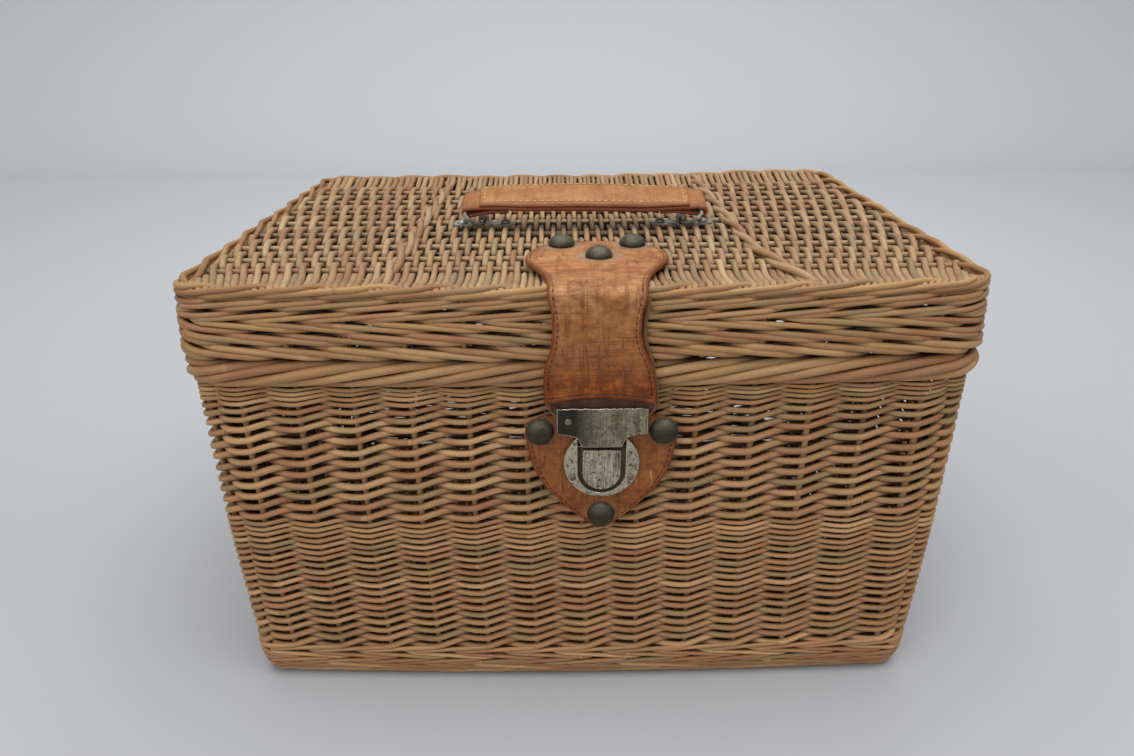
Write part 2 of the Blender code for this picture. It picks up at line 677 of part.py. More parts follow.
def strap_back_y():
    """The Y of the strap's back edge on the lid."""
    return PLAN_Y - STRAP_BACK_REACH


def strap_anchor():
    """The part of the strap that lies on the lid, nailed down at its back."""
    back = strap_back_y()
    front = STRAP_AXIS_Y + STRAP_THICKNESS / 2 + GAP
    run = back - front
    half = [(x * STRAP_SHOULDER_WIDTH / 2, back - y * run) for x, y in ANCHOR_SHARES]
    half.append((STRAP_FOLD_WIDTH / 2, front))
    outline = [(STRAP_X + x, y) for x, y in mirrored(half)]
    at = Matrix.Translation((0, 0, LID_TOP + GAP))
    made = plate("strap_anchor", [outline], STRAP_THICKNESS, LEATHER, at)
    cut(made, [nail_hole(place, True) for place in strap_nail_places()])


def hanging_half(top, bottom, end_width):
    """Right half of the hanging strap, from its fold down to its foot."""
    drop = top - bottom
    waist = STRAP_WAIST_WIDTH / 2
    swell = STRAP_FOOT_WIDTH / 2 - waist
    edge = [(waist + x * swell, top - y * drop) for y, x in SWELL_SHARES]
    return [(STRAP_FOLD_WIDTH / 2, top), *edge, (end_width / 2, bottom)]


def hanging_strap():
    """The strap below its fold: the outer leather with an arched lip, its lining and the hasp."""
    half = hanging_half(STRAP_AXIS_Z, STRAP_LIP, STRAP_FOOT_WIDTH)
    half += [(x * STRAP_FOOT_WIDTH / 2, STRAP_LIP + z * STRAP_LIP_ARCH) for x, z in LIP_SHARES]
    outline = [(x, z - STRAP_AXIS_Z) for x, z in mirrored(half)]
    at = Matrix.Translation((STRAP_X, STRAP_BACK_Y, STRAP_AXIS_Z)) @ TO_FRONT
    plate("strap_leather", [outline], STRAP_THICKNESS, LEATHER, at)
    lining_top = LID_TOP - STRAP_THICKNESS
    lining_end = HASP_TOP - HASP_BAR_HEIGHT + HASP_SHOULDER_DROP
    half = hanging_half(lining_top, STRAP_LIP, STRAP_FOOT_WIDTH)
    half += [(STRAP_FOOT_WIDTH / 2, HASP_TOP - HASP_SHOULDER_DROP), (LINING_END_WIDTH / 2, PATCH_TOP),
             (LINING_END_WIDTH / 2, lining_end)]
    outline = [(x, z - lining_top) for x, z in mirrored(half)]
    at = Matrix.Translation((STRAP_X, LINING_BACK_Y, lining_top)) @ TO_FRONT
    lining = plate("strap_lining", [outline], LINING_THICKNESS, DARK_LEATHER, at)
    hasp(lining)


def hasp(lining):
    """The T shaped hasp plate with its nib, riveted to the lining."""
    low = HASP_TOP - HASP_BAR_HEIGHT
    half = [(HASP_WIDTH / 2, HASP_TOP), (HASP_WIDTH / 2, low),
            (HASP_SHOULDER_WIDTH / 2, low - HASP_SHOULDER_DROP)]
    half += [(x * HASP_TONGUE_WIDTH / 2, low - z * HASP_TONGUE_DROP) for x, z in TONGUE_SHARES]
    outline = [(x, z - HASP_TOP) for x, z in mirrored(half)]
    back = LINING_BACK_Y - LINING_THICKNESS - GAP
    at = Matrix.Translation((STRAP_X, back, HASP_TOP)) @ TO_FRONT
    made = plate("hasp_plate", [outline], HASP_THICKNESS, NICKEL, at)
    tip = HASP_TIP + GAP
    half_nib = HASP_NIB_WIDTH / 2
    nib = box_cutter("hasp nib", (STRAP_X - half_nib, back - HASP_THICKNESS / 2, tip),
                     (STRAP_X + half_nib, back + HASP_NIB_DEPTH, tip + HASP_NIB_HEIGHT))
    cut(made, [nib], "UNION")
    seat = back - HASP_THICKNESS - GAP
    middle = HASP_TOP - HASP_BAR_HEIGHT / 2
    places = [(STRAP_X + side * HASP_RIVET_SPACING / 2, seat, middle) for side in (-1, 1)]
    holes = [pin_cutter("hasp rivet hole", SMALL_RIVET_SHANK_RADIUS + SHANK_CLEARANCE, place, OVERRUN, False)
             for place in places]
    cut(made, holes)
    cut(lining, holes)
    length = HASP_THICKNESS + LINING_THICKNESS + 2 * GAP
    for name, place in zip(("left", "right"), places):
        small_rivet(f"hasp_rivet_{name}", place, length)


def small_rivet(name, place, length):
    """A low domed rivet pointing into the basket."""
    profile = dome_profile(SMALL_RIVET_RADIUS, SMALL_RIVET_DOME, SMALL_RIVET_SHANK_RADIUS, length)
    smooth_shade(turned(name, profile, SMALL_STEPS, NICKEL, Matrix.Translation(place) @ TO_FRONT))


def mouth_outline(width, drop, top):
    """A slot with a round lower end, in the lock's own X and Z."""
    radius = width / 2
    return arc((0, radius - drop), radius, 180, 360, 2 * CORNER_STEPS) + [(radius, top), (-radius, top)]


def lock_openings():
    """Cutters for the lock's case and its rivets, through the siding and the patch."""
    half = LOCK_MOUTH_WIDTH / 2 + CASE_MARGIN + GAP
    low = (STRAP_X - half, PATCH_FRONT_Y - OVERRUN, LOCK_HEIGHT - LOCK_MOUTH_DROP - CASE_MARGIN - GAP)
    back = PLATE_BACK_Y + CASE_DEPTH + GAP
    case = box_cutter("case room", low, (STRAP_X + half, back, LOCK_HEIGHT + CASE_TOP_RISE + GAP))
    holes = [pin_cutter("lock rivet hole", SMALL_RIVET_SHANK_RADIUS + SHANK_CLEARANCE, place,
                        SIDING_THICKNESS + BODY_TAPER + OVERRUN, False) for place in lock_rivet_places()]
    return [case, *holes]


def lock_rivet_places():
    """Seats of the two rivets on the lock's plate."""
    y = PLATE_BACK_Y - LOCK_PLATE_THICKNESS - GAP
    z = LOCK_HEIGHT - LOCK_RIVET_DROP
    return [(STRAP_X + side * LOCK_RIVET_SPACING / 2, y, z) for side in (-1, 1)]


def lock():
    """Patch, plate, case, spring, rivets and the sliding button."""
    drop = PATCH_TOP - PATCH_BOTTOM
    half = [(x * PATCH_WIDTH / 2, -y * drop) for x, y in PATCH_SHARES]
    at = Matrix.Translation((STRAP_X, PATCH_BACK_Y, PATCH_TOP)) @ TO_FRONT
    patch = plate("lock_patch", [mirrored(half)], PATCH_THICKNESS, LEATHER, at)
    cut(patch, [*lock_openings(), *(nail_hole(place, False) for place in patch_nail_places())])
    at = Matrix.Translation((STRAP_X, PLATE_BACK_Y, LOCK_HEIGHT)) @ TO_FRONT
    mouth = LOCK_MOUTH_WIDTH / 2
    start = math.degrees(math.acos(mouth / LOCK_RADIUS))
    rim = arc((0, 0), LOCK_RADIUS, 180 - start, 360 + start, 2 * ROUND_STEPS)
    slot = arc((0, mouth - LOCK_MOUTH_DROP), mouth, 0, -180, 2 * CORNER_STEPS)
    disc = plate("lock_plate", [rim + slot], LOCK_PLATE_THICKNESS, NICKEL, at)
    radius = SMALL_RIVET_SHANK_RADIUS + SHANK_CLEARANCE
    cut(disc, [pin_cutter("lock rivet seat", radius, place, OVERRUN, False) for place in lock_rivet_places()])
    for name, place in zip(("left", "right"), lock_rivet_places()):
        through = front_y(place[0], body_inset(place[2]) + SIDING_THICKNESS) - place[1]
        small_rivet(f"lock_rivet_{name}", place, through + SMALL_RIVET_TAIL)
    lock_case()
    lock_button()
    lock_spring()


def lock_case():
    """The tray behind the plate, open at its front."""
    half = LOCK_MOUTH_WIDTH / 2 + CASE_MARGIN
    low_z = LOCK_HEIGHT - LOCK_MOUTH_DROP - CASE_MARGIN
    high_z = LOCK_HEIGHT + CASE_TOP_RISE
    outline = [(-half, low_z), (half, low_z), (half, high_z), (-half, high_z)]
    outline = [(x, z - LOCK_HEIGHT) for x, z in outline]
    back = PLATE_BACK_Y + CASE_DEPTH
    at = Matrix.Translation((STRAP_X, back, LOCK_HEIGHT)) @ TO_FRONT
    tray = plate("lock_case", [outline], CASE_DEPTH - GAP, NICKEL, at)
    low = (STRAP_X - half + CASE_WALL, PATCH_FRONT_Y - OVERRUN, low_z + CASE_WALL)
    high = (STRAP_X + half - CASE_WALL, back - CASE_WALL, high_z - CASE_WALL)
    cut(tray, [box_cutter("case hollow", low, high)])


def lock_button():
    """The shield shaped button with a stem that presses on the spring."""
    outline = mouth_outline(BUTTON_WIDTH, BUTTON_DROP, BUTTON_TOP_RISE)
    front = PLATE_BACK_Y - LOCK_PLATE_THICKNESS - BUTTON_PROUD
    at = Matrix.Translation((STRAP_X, front + BUTTON_THICKNESS, LOCK_HEIGHT)) @ TO_FRONT
    made = plate("lock_button", [outline], BUTTON_THICKNESS, NICKEL, at)
    edge = made.modifiers.new("Bevel", "BEVEL")
    edge.width = BUTTON_EDGE
    edge.segments = 1
    half = BUTTON_STEM_WIDTH / 2
    low = (STRAP_X - half, front + BUTTON_THICKNESS / 2, LOCK_HEIGHT - BUTTON_STEM_DROP)
    high = (STRAP_X + half, PLATE_BACK_Y + CASE_DEPTH - CASE_WALL - GAP, LOCK_HEIGHT)
    cut(made, [box_cutter("button stem", low, high)], "UNION")


def lock_spring():
    """A small coil standing in the case under the button's stem."""
    seat = LOCK_HEIGHT - LOCK_MOUTH_DROP - CASE_MARGIN + CASE_WALL + GAP + SPRING_WIRE_RADIUS
    top = LOCK_HEIGHT - BUTTON_STEM_DROP - GAP - SPRING_WIRE_RADIUS
    y = PLATE_BACK_Y + CASE_DEPTH / 2
    count = SPRING_TURNS * SPRING_STEPS
    points = []
    for k in range(count + 1):
        turn = 2 * math.pi * k / SPRING_STEPS
        points.append((STRAP_X + SPRING_RADIUS * math.cos(turn), y + SPRING_RADIUS * math.sin(turn),
                       seat + (top - seat) * k / count))
    tube("lock_spring", points, SPRING_WIRE_RADIUS, NICKEL)


def saddle_rivet_places():
    """X of the four rivets that hold the saddles."""
    middles = [HANDLE_X + side * SADDLE_SPACING / 2 for side in (-1, 1)]
    return [middle + ear * SADDLE_RIVET_REACH for middle in middles for ear in (-1, 1)]


def saddle_hole(x):
    """A hole for a saddle rivet's shank."""
    reach = PANEL_THICKNESS + OVERRUN
    return pin_cutter("saddle hole", SADDLE_RIVET_SHANK_RADIUS + SHANK_CLEARANCE,
                      (x, HANDLE_PIVOT.y, LID_TOP), reach, True)


def saddles():
    """Two metal saddles, each bridging a ring's wire, and their rivets."""
    for name, side in (("left", -1), ("right", 1)):
        saddle(f"handle_saddle_{name}", HANDLE_X + side * SADDLE_SPACING / 2)
    seat = LID_TOP + 2 * GAP + SADDLE_THICKNESS
    length = seat - LID_TOP + PANEL_THICKNESS + SADDLE_RIVET_TAIL
    profile = dome_profile(SADDLE_RIVET_RADIUS, SADDLE_RIVET_DOME, SADDLE_RIVET_SHANK_RADIUS, length)
    for number, x in enumerate(saddle_rivet_places(), 1):
        at = Matrix.Translation((x, HANDLE_PIVOT.y, seat))
        smooth_shade(turned(f"saddle_rivet_{number}", profile, SMALL_STEPS, STEEL, at))


def saddle(name, x):
    """One saddle: a strip with a channel along Y, trimmed to round ears and a waist."""
    inner = SADDLE_CHANNEL_WIDTH / 2
    outer = inner + SADDLE_THICKNESS
    height = SADDLE_CHANNEL_HEIGHT
    top = height + SADDLE_THICKNESS
    end = SADDLE_LENGTH / 2
    half = [(inner - GAP, height), (inner, height - GAP), (inner, 0), (end, 0), (end, SADDLE_THICKNESS),
            (outer, SADDLE_THICKNESS), (outer, top - SADDLE_THICKNESS / 2), (outer - SADDLE_THICKNESS / 2, top)]
    turn = Matrix.Translation((x, HANDLE_PIVOT.y + SADDLE_EAR_WIDTH / 2, LID_TOP + GAP)) @ TO_FRONT
    made = plate(name, [mirrored(half)], SADDLE_EAR_WIDTH, STEEL, turn)
    waist = SADDLE_WAIST_WIDTH / 2
    ear = SADDLE_EAR_WIDTH / 2
    shoulder = outer + SADDLE_THICKNESS
    right = [(shoulder, -waist), (shoulder + waist, -ear)]
    right += arc((end - ear, 0), ear, -90, 90, 2 * CORNER_STEPS)
    right += [(shoulder + waist, ear), (shoulder, waist)]
    outline = right + [(-px, -py) for px, py in right]
    under = Matrix.Translation((x, HANDLE_PIVOT.y, LID_TOP - OVERRUN))
    shape = as_cutter(plate(name + " shape", [outline], 2 * OVERRUN + top, None, under, CUTTERS))
    cut(made, [shape], "INTERSECT")
    for ear_side in (-1, 1):
        cut(made, [saddle_hole(x + ear_side * SADDLE_RIVET_REACH)])


def handle():
    """The tipping handle: two rings, the folded base leather and the stitched top leather."""
    pivot = bpy.data.objects.new("handle pivot", None)
    PARTS.objects.link(pivot)
    pivot.matrix_world = Matrix.Translation(HANDLE_PIVOT) @ Matrix.Rotation(TIP, 4, "X")
    bpy.context.view_layer.update()
    bar = SADDLE_SPACING / 2 + RING_SWAY
    pieces = [ring_piece(name, side * bar, side) for name, side in (("left", -1), ("right", 1))]
    pieces.append(grip_base(bar))
    pieces.append(grip_top(bar))
    for piece in pieces:
        piece.parent = pivot


def ring_piece(name, x, side):
    """A D shaped ring: its bar lies in the leather, its bow passes through the saddle."""
    line = arc((0, 0), RING_RADIUS, 180, 360, RING_STEPS)
    line = [(-RING_RADIUS + RING_CORNER, 0), *line[1:-1], (RING_RADIUS - RING_CORNER, 0)]
    points = [(x + side * v * math.sin(LEAN), u, PIVOT_DROP + v * math.cos(LEAN)) for u, v in line]
    return tube(f"handle_ring_{name}", points, RING_WIRE_RADIUS, STEEL, cyclic=True)


def grip_arch(x, bar):
    """Rise of the grip above its ends at a place along it."""
    return GRIP_ARCH * (1 - (x / bar) ** 2)


def grip_base(bar):
    """The long leather, folded back under itself round each ring's bar."""
    eye = RING_WIRE_RADIUS + EYE_CLEARANCE
    fold = eye + GRIP_LEATHER
    top = PIVOT_DROP + fold
    lap = bar - GRIP_LAP
    stations = [lap * (2 * k / BOW_STEPS - 1) for k in range(BOW_STEPS + 1)]
    outline = arc((-bar, PIVOT_DROP), fold, 90, 270, 2 * CORNER_STEPS)
    outline.append((-lap - GAP, top + grip_arch(lap, bar) - GRIP_THICKNESS - GRIP_LAP_END))
    outline += [(x, top + grip_arch(x, bar) - GRIP_THICKNESS) for x in stations]
    outline.append((lap + GAP, top + grip_arch(lap, bar) - GRIP_THICKNESS - GRIP_LAP_END))
    outline += arc((bar, PIVOT_DROP), fold, 270, 450, 2 * CORNER_STEPS)
    upper = [bar * (1 - 2 * k / BOW_STEPS) for k in range(1, BOW_STEPS)]
    outline += [(x, top + grip_arch(x, bar)) for x in upper]
    eye_end = 360 - 360 / SMALL_STEPS
    eyes = [arc((side * bar, PIVOT_DROP), eye, 0, eye_end, SMALL_STEPS - 1) for side in (-1, 1)]
    turn = Matrix.Translation((0, GRIP_WIDTH / 2, 0)) @ TO_FRONT
    return plate("grip_base", [outline, *eyes], GRIP_WIDTH, LEATHER, turn)


def grip_top(bar):
    """The shorter leather stitched on top of the base."""
    half = GRIP_TOP_LENGTH / 2
    seat = PIVOT_DROP + RING_WIRE_RADIUS + EYE_CLEARANCE + GRIP_LEATHER + GAP
    stations = [half * (2 * k / BOW_STEPS - 1) for k in range(BOW_STEPS + 1)]
    outline = [(x, seat + grip_arch(x, bar)) for x in stations]
    outline += [(x, seat + grip_arch(x, bar) + GRIP_TOP_THICKNESS) for x in reversed(stations)]
    width = GRIP_WIDTH - 2 * GRIP_TOP_MARGIN
    turn = Matrix.Translation((0, width / 2, 0)) @ TO_FRONT
    return plate("grip_top", [outline], width, LEATHER, turn)


def build():
    """Makes every piece of the basket."""
    woven_body()
    hinge_loops()
    lid_frame()
    lid_panels()
    strap_anchor()
    hanging_strap()
    lock()
    nails_and_burrs()
    saddles()
    handle()


clear_scene()
PARTS = collection("wicker picnic basket")
CUTTERS = collection("cutters")
WILLOW = material("willow weave", (0.45, 0.29, 0.16), 0.65)
ROD_WILLOW = material("willow rods", (0.5, 0.33, 0.18), 0.6)
LEATHER = material("tan leather", (0.42, 0.17, 0.06), 0.5)
DARK_LEATHER = material("dark leather", (0.16, 0.06, 0.03), 0.6)
NICKEL = material("worn nickel", (0.45, 0.44, 0.4), 0.35, 1.0)
STEEL = material("dull steel", (0.35, 0.34, 0.31), 0.4, 1.0)
BRONZE = material("dark bronze", (0.09, 0.08, 0.05), 0.45, 0.9)
build()
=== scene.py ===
"""A wicker picnic basket: willow woven strand by strand, worn leather, nickel lock and bronzed nails.

Each sub-assembly is a class whose fields are its sizes in metres. Its build method makes the meshes in
the row frame: +Z up, +X to the right, the front facing -Y, the ground at Z 0.
"""

import enum
import logging
import math
import random
from dataclasses import dataclass, field
from typing import Optional, Sequence

import bmesh
import bpy
import numpy as np
from mathutils import Matrix, Vector, noise

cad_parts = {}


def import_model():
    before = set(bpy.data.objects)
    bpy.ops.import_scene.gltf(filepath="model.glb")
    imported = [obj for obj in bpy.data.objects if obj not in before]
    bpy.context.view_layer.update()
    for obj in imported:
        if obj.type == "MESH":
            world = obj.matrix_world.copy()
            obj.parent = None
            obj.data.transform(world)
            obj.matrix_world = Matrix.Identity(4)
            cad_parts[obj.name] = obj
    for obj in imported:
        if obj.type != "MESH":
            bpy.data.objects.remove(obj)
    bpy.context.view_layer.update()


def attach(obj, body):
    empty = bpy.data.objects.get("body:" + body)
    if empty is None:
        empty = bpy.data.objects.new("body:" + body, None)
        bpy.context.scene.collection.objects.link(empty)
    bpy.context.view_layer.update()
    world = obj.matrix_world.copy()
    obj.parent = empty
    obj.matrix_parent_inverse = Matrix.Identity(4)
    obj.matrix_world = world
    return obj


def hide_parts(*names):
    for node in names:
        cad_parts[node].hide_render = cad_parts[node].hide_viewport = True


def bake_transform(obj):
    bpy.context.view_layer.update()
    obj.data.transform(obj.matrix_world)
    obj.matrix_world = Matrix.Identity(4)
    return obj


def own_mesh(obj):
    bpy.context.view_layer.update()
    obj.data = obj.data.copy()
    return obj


LOG = logging.getLogger("picnic_basket")
MM = 0.001
SEED = 19
LOCK_X = 9 * MM
ACROSS, OUT, UP = Vector((1, 0, 0)), Vector((0, -1, 0)), Vector((0, 0, 1))
Material = bpy.types.Material
Piece = bpy.types.Object
Socket = bpy.types.NodeSocket


def mm(*sizes: float) -> tuple[float, ...]:
    """Sizes in millimetres as metres."""
    return tuple(size * MM for size in sizes)


def linear(code: str) -> tuple[float, float, float, float]:
    """Six hexadecimal digits, as a screen shows the colour, as linear red, green, blue and an alpha of 1."""
    shares = [int(code[k:k + 2], 16) / 255 for k in (0, 2, 4)]
    return (*(c / 12.92 if c <= 0.04045 else ((c + 0.055) / 1.055) ** 2.4 for c in shares), 1.0)


def wobble(*place: float) -> float:
    """A smooth random number from about -1 to 1 that depends only on the place."""
    return noise.noise(Vector((place + (0.0, 0.0, 0.0))[:3])) * 1.6


def stacked(x, y, z) -> np.ndarray:
    """Points from their coordinates, each a row of numbers or one number for all."""
    return np.stack(np.broadcast_arrays(x, y, z), axis=1)


# --------------------------------------------------------------------------- objects


def linked(name: str, data: bpy.types.ID) -> Piece:
    """A new object in the scene."""
    ob = bpy.data.objects.new(name, data)
    bpy.context.scene.collection.objects.link(ob)
    return ob


def finished(name: str, work: bmesh.types.BMesh) -> Piece:
    """Turns the work mesh into a smooth object at the origin."""
    mesh = bpy.data.meshes.new(name)
    work.to_mesh(mesh)
    work.free()
    for face in mesh.polygons:
        face.use_smooth = True
    return linked(name, mesh)


def settle(ob: Piece) -> None:
    """Applies an object's modifiers, so that a plain mesh is left."""
    graph = bpy.context.evaluated_depsgraph_get()
    made = bpy.data.meshes.new_from_object(ob.evaluated_get(graph), preserve_all_data_layers=True, depsgraph=graph)
    old = ob.data
    ob.modifiers.clear()
    ob.data = made
    made.name = ob.name
    bpy.data.meshes.remove(old)


def dress(ob: Piece, finish: Material) -> Piece:
    """Gives a piece its material, and keeps a second one that its rounded edges have."""
    if len(ob.data.materials) == 2:
        ob.data.materials[0] = finish
    else:
        ob.data.materials.clear()
        ob.data.materials.append(finish)
    return ob


def place_piece(ob: Piece, body: str, slot: str, *nodes: str) -> Piece:
    """Hides the model's parts that a piece stands for, and hangs the piece on the body that it rides on."""
    if nodes:
        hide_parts(*nodes)
    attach(ob, body)
    return ob


# --------------------------------------------------------------------------- node trees


class Nodes:
    """Adds and links nodes in one tree."""

    def __init__(self, tree: bpy.types.NodeTree) -> None:
        """Keeps the tree that the nodes go in."""
        self.tree = tree

    def put(self, socket: Socket, value) -> None:
        """Links an output to an input, or sets the input's own value."""
        if isinstance(value, Socket):
            self.tree.links.new(value, socket)
        else:
            socket.default_value = value

    def add(self, kind: str, inputs: Optional[dict] = None, **settings) -> bpy.types.Node:
        """Adds one node.

        Args:
            kind: The node's type name.
            inputs: Values or output sockets by input name or number.
            **settings: The node's own properties.

        Returns:
            The new node.
        """
        node = self.tree.nodes.new(kind)
        for name, value in settings.items():
            setattr(node, name, value)
        for key, value in (inputs or {}).items():
            self.put(node.inputs[key], value)
        return node

    def math(self, operation: str, first, second=0.0, third=0.0) -> Socket:
        """The result of one sum on sockets or numbers."""
        return self.add("ShaderNodeMath", {0: first, 1: second, 2: third}, operation=operation).outputs[0]

    def times(self, first, second) -> Socket:
        """The product of two sockets or numbers."""
        return self.math("MULTIPLY", first, second)

    def times_plus(self, first, second, third) -> Socket:
        """The product of the first two and the third."""
        return self.math("MULTIPLY_ADD", first, second, third)

    def vector(self, x=0.0, y=0.0, z=0.0) -> Socket:
        """A vector from three sockets or numbers."""
        return self.add("ShaderNodeCombineXYZ", {0: x, 1: y, 2: z}).outputs[0]

    def attribute(self, name: str) -> Socket:
        """A number that the mesh carries at each point."""
        return self.add("ShaderNodeAttribute", attribute_name=name).outputs["Fac"]

    def here(self) -> Socket:
        """The place in the object's own frame."""
        return self.add("ShaderNodeTexCoord").outputs["Object"]

    def noise(self, place, scale: float, detail: float = 2.0, rough: float = 0.5) -> Socket:
        """Noise from 0 to 1 at a place."""
        inputs = {"Vector": place, "Scale": scale, "Detail": detail, "Roughness": rough}
        return self.add("ShaderNodeTexNoise", inputs).outputs[0]

    def streaks(self, detail: float, rough: float, *parts: tuple) -> Socket:
        """Noise at a place made of sockets, each drawn out by its own scale."""
        return self.noise(self.vector(*(self.times(value, scale) for value, scale in parts)), 1.0, detail, rough)

    def span(self, value, *limits: float) -> Socket:
        """A value from two limits mapped to two others, and kept between them."""
        return self.add("ShaderNodeMapRange", {0: value, **dict(enumerate(limits, 1))}).outputs[0]

    def ramp(self, value, *stops: tuple) -> Socket:
        """A colour ramp over pairs of a position and a colour, or a position and a grey from 0 to 1."""
        node = self.add("ShaderNodeValToRGB", {0: value})
        band = node.color_ramp
        while len(band.elements) < len(stops):
            band.elements.new(0.5)
        for element, (position, colour) in zip(band.elements, stops):
            element.position = position
            element.color = linear(colour) if isinstance(colour, str) else (colour, colour, colour, 1)
        return node.outputs[0]

    def mix(self, share, first, second) -> Socket:
        """Two colours mixed by a share."""
        node = self.add("ShaderNodeMix", data_type="RGBA")
        for key, value in ((0, share), (6, first), (7, second)):
            self.put(node.inputs[key], linear(value) if isinstance(value, str) else value)
        return node.outputs[2]

    def stain(self, tone, value, low: float, high: float, share: float, colour) -> Socket:
        """A tone that turns to a colour, up to a share, where a value rises from low to high."""
        return self.mix(self.ramp(value, (low, 0.0), (high, share)), tone, colour)

    def bump(self, height, distance: float, strength: float = 1.0) -> Socket:
        """A bumped normal from a height."""
        return self.add("ShaderNodeBump", {"Height": height, "Distance": distance, "Strength": strength}).outputs[0]


class Paint(Nodes):
    """The nodes of a new material."""

    def __init__(self, name: str) -> None:
        """Makes the material."""
        self.material = bpy.data.materials.new(name)
        self.material.use_nodes = True
        super().__init__(self.material.node_tree)

    def finish(self, **sockets) -> Material:
        """Links or sets inputs of the material's shader and hands it over."""
        names = {"color": "Base Color", "specular": "Specular IOR Level"}
        shader = self.tree.nodes["Principled BSDF"]
        for name, value in sockets.items():
            self.put(shader.inputs[names.get(name, name.title())], value)
        return self.material


class BakedTree:
    """A Geometry Nodes tree with named inputs, which runs once on a mesh and leaves a plain mesh."""

    def __init__(self, name: str, **kinds: str) -> None:
        """Makes the tree with its geometry and the inputs given by name and kind of socket."""
        self.tree = bpy.data.node_groups.new(name, "GeometryNodeTree")
        face = self.tree.interface
        face.new_socket("Geometry", in_out="INPUT", socket_type="NodeSocketGeometry")
        self.keys = {key: face.new_socket(key, in_out="INPUT", socket_type="NodeSocket" + kind).identifier
                     for key, kind in kinds.items()}
        face.new_socket("Geometry", in_out="OUTPUT", socket_type="NodeSocketGeometry")
        self.nodes = Nodes(self.tree)
        self.given = self.nodes.add("NodeGroupInput").outputs

    def step(self, kind: str, inputs: Optional[dict] = None, **settings) -> Socket:
        """The first output of a new geometry node."""
        return self.nodes.add("GeometryNode" + kind, inputs, **settings).outputs[0]

    def close(self, made: Socket, smooth: bool = True) -> None:
        """Ends the tree with real faces in the given finish."""
        made = self.step("RealizeInstances", {"Geometry": made})
        if smooth:
            made = self.step("SetShadeSmooth", {"Geometry": made})
        made = self.step("SetMaterial", {"Geometry": made, "Material": self.given["Finish"]})
        self.nodes.add("NodeGroupOutput", {0: made})

    def bake(self, name: str, mesh: bpy.types.Mesh, **values) -> Piece:
        """Runs the tree on a mesh with its inputs' values, and keeps its result."""
        ob = linked(name, mesh)
        step = ob.modifiers.new("nodes", "NODES")
        step.node_group = self.tree
        for key, value in values.items():
            step[self.keys[key]] = value
        settle(ob)
        return ob


def line_mesh(name: str, lines: Sequence[Sequence], closed: Sequence[bool]) -> bpy.types.Mesh:
    """A mesh of lines of points, some of which are closed."""
    edges, first = [], 0
    for line, ring in zip(lines, closed):
        count = len(line)
        edges += [(first + k, first + k + 1) for k in range(count - 1)]
        if ring:
            edges.append((first + count - 1, first))
        first += count
    mesh = bpy.data.meshes.new(name + " lines")
    mesh.from_pydata(np.concatenate([np.array(line) for line in lines]).tolist(), edges, [])
    return mesh


# --------------------------------------------------------------------------- willow


@dataclass(frozen=True)
class WillowFinish:
    """Dry willow: each strand has its own tone, which drifts along it."""

    name: str
    tones: tuple[str, ...]
    red: str = "87462e"
    grey: str = "8f8560"
    # The dirt colour is real dark specks and fibre lines, and also the painted shade on the hidden parts of the
    # weave.
    dirt: str = "35241a"
    roughness: float = 0.62

    def material(self) -> Material:
        """The finish as a material that reads the strands' tint, along, around and depth, and paints shade by depth.
        """
        nodes = Paint(self.name)
        tint, along, around = (nodes.attribute(n) for n in ("tint", "along", "around"))
        last = len(self.tones) - 1
        tone = nodes.ramp(tint, *((k / last, c) for k, c in enumerate(self.tones)))
        tone = nodes.stain(tone, nodes.streaks(3.0, 0.6, (along, 22.0), (tint, 61.0)), 0.5, 0.74, 0.62, self.red)
        other = nodes.vector(nodes.times(along, 30.0), nodes.times_plus(tint, 43.0, 9.0))
        tone = nodes.stain(tone, nodes.noise(other, 1.0, 3.0, 0.6), 0.52, 0.75, 0.6, self.grey)
        # Painted shade: the deeper a part of a rod lies in the weave, the more it turns to the dirt colour.
        tone = nodes.stain(tone, nodes.attribute("depth"), 0.44, 0.78, 0.93, self.dirt)
        tone = nodes.stain(tone, nodes.noise(nodes.here(), 900.0, 3.0, 0.7), 0.6, 0.78, 0.55, self.dirt)
        fibre = nodes.streaks(4.0, 0.65, (along, 60.0), (around, 14.0), (tint, 37.0))
        tone = nodes.stain(tone, fibre, 0.35, 0.7, 0.22, self.dirt)
        rough = nodes.times_plus(fibre, 0.25, self.roughness - 0.12)
        return nodes.finish(color=tone, roughness=rough, specular=0.35, normal=nodes.bump(fibre, 0.0002, 0.6))


@dataclass
class Strand:
    """One willow rod along its middle line, with its radius, tone and depth at each point or all along.

    The depth is 0 at the face of the weave and 1 behind it; the willow finish paints shade by it.
    """

    points: np.ndarray
    radii: np.ndarray | float
    tints: np.ndarray | float
    closed: bool = True
    depth: np.ndarray | float = 0.0

    def lengths(self) -> np.ndarray:
        """The distance of each point from the first, along the rod."""
        return np.concatenate([[0.0], np.cumsum(np.linalg.norm(np.diff(self.points, axis=0), axis=1))])

    def carried(self) -> dict[str, np.ndarray]:
        """What the mesh carries at each point, by attribute name."""
        values = {"thickness": self.radii, "tint": self.tints, "along": self.lengths(),
                  "depth": np.clip(self.depth, 0, 1)}
        return {key: np.broadcast_to(value, len(self.points)) for key, value in values.items()}


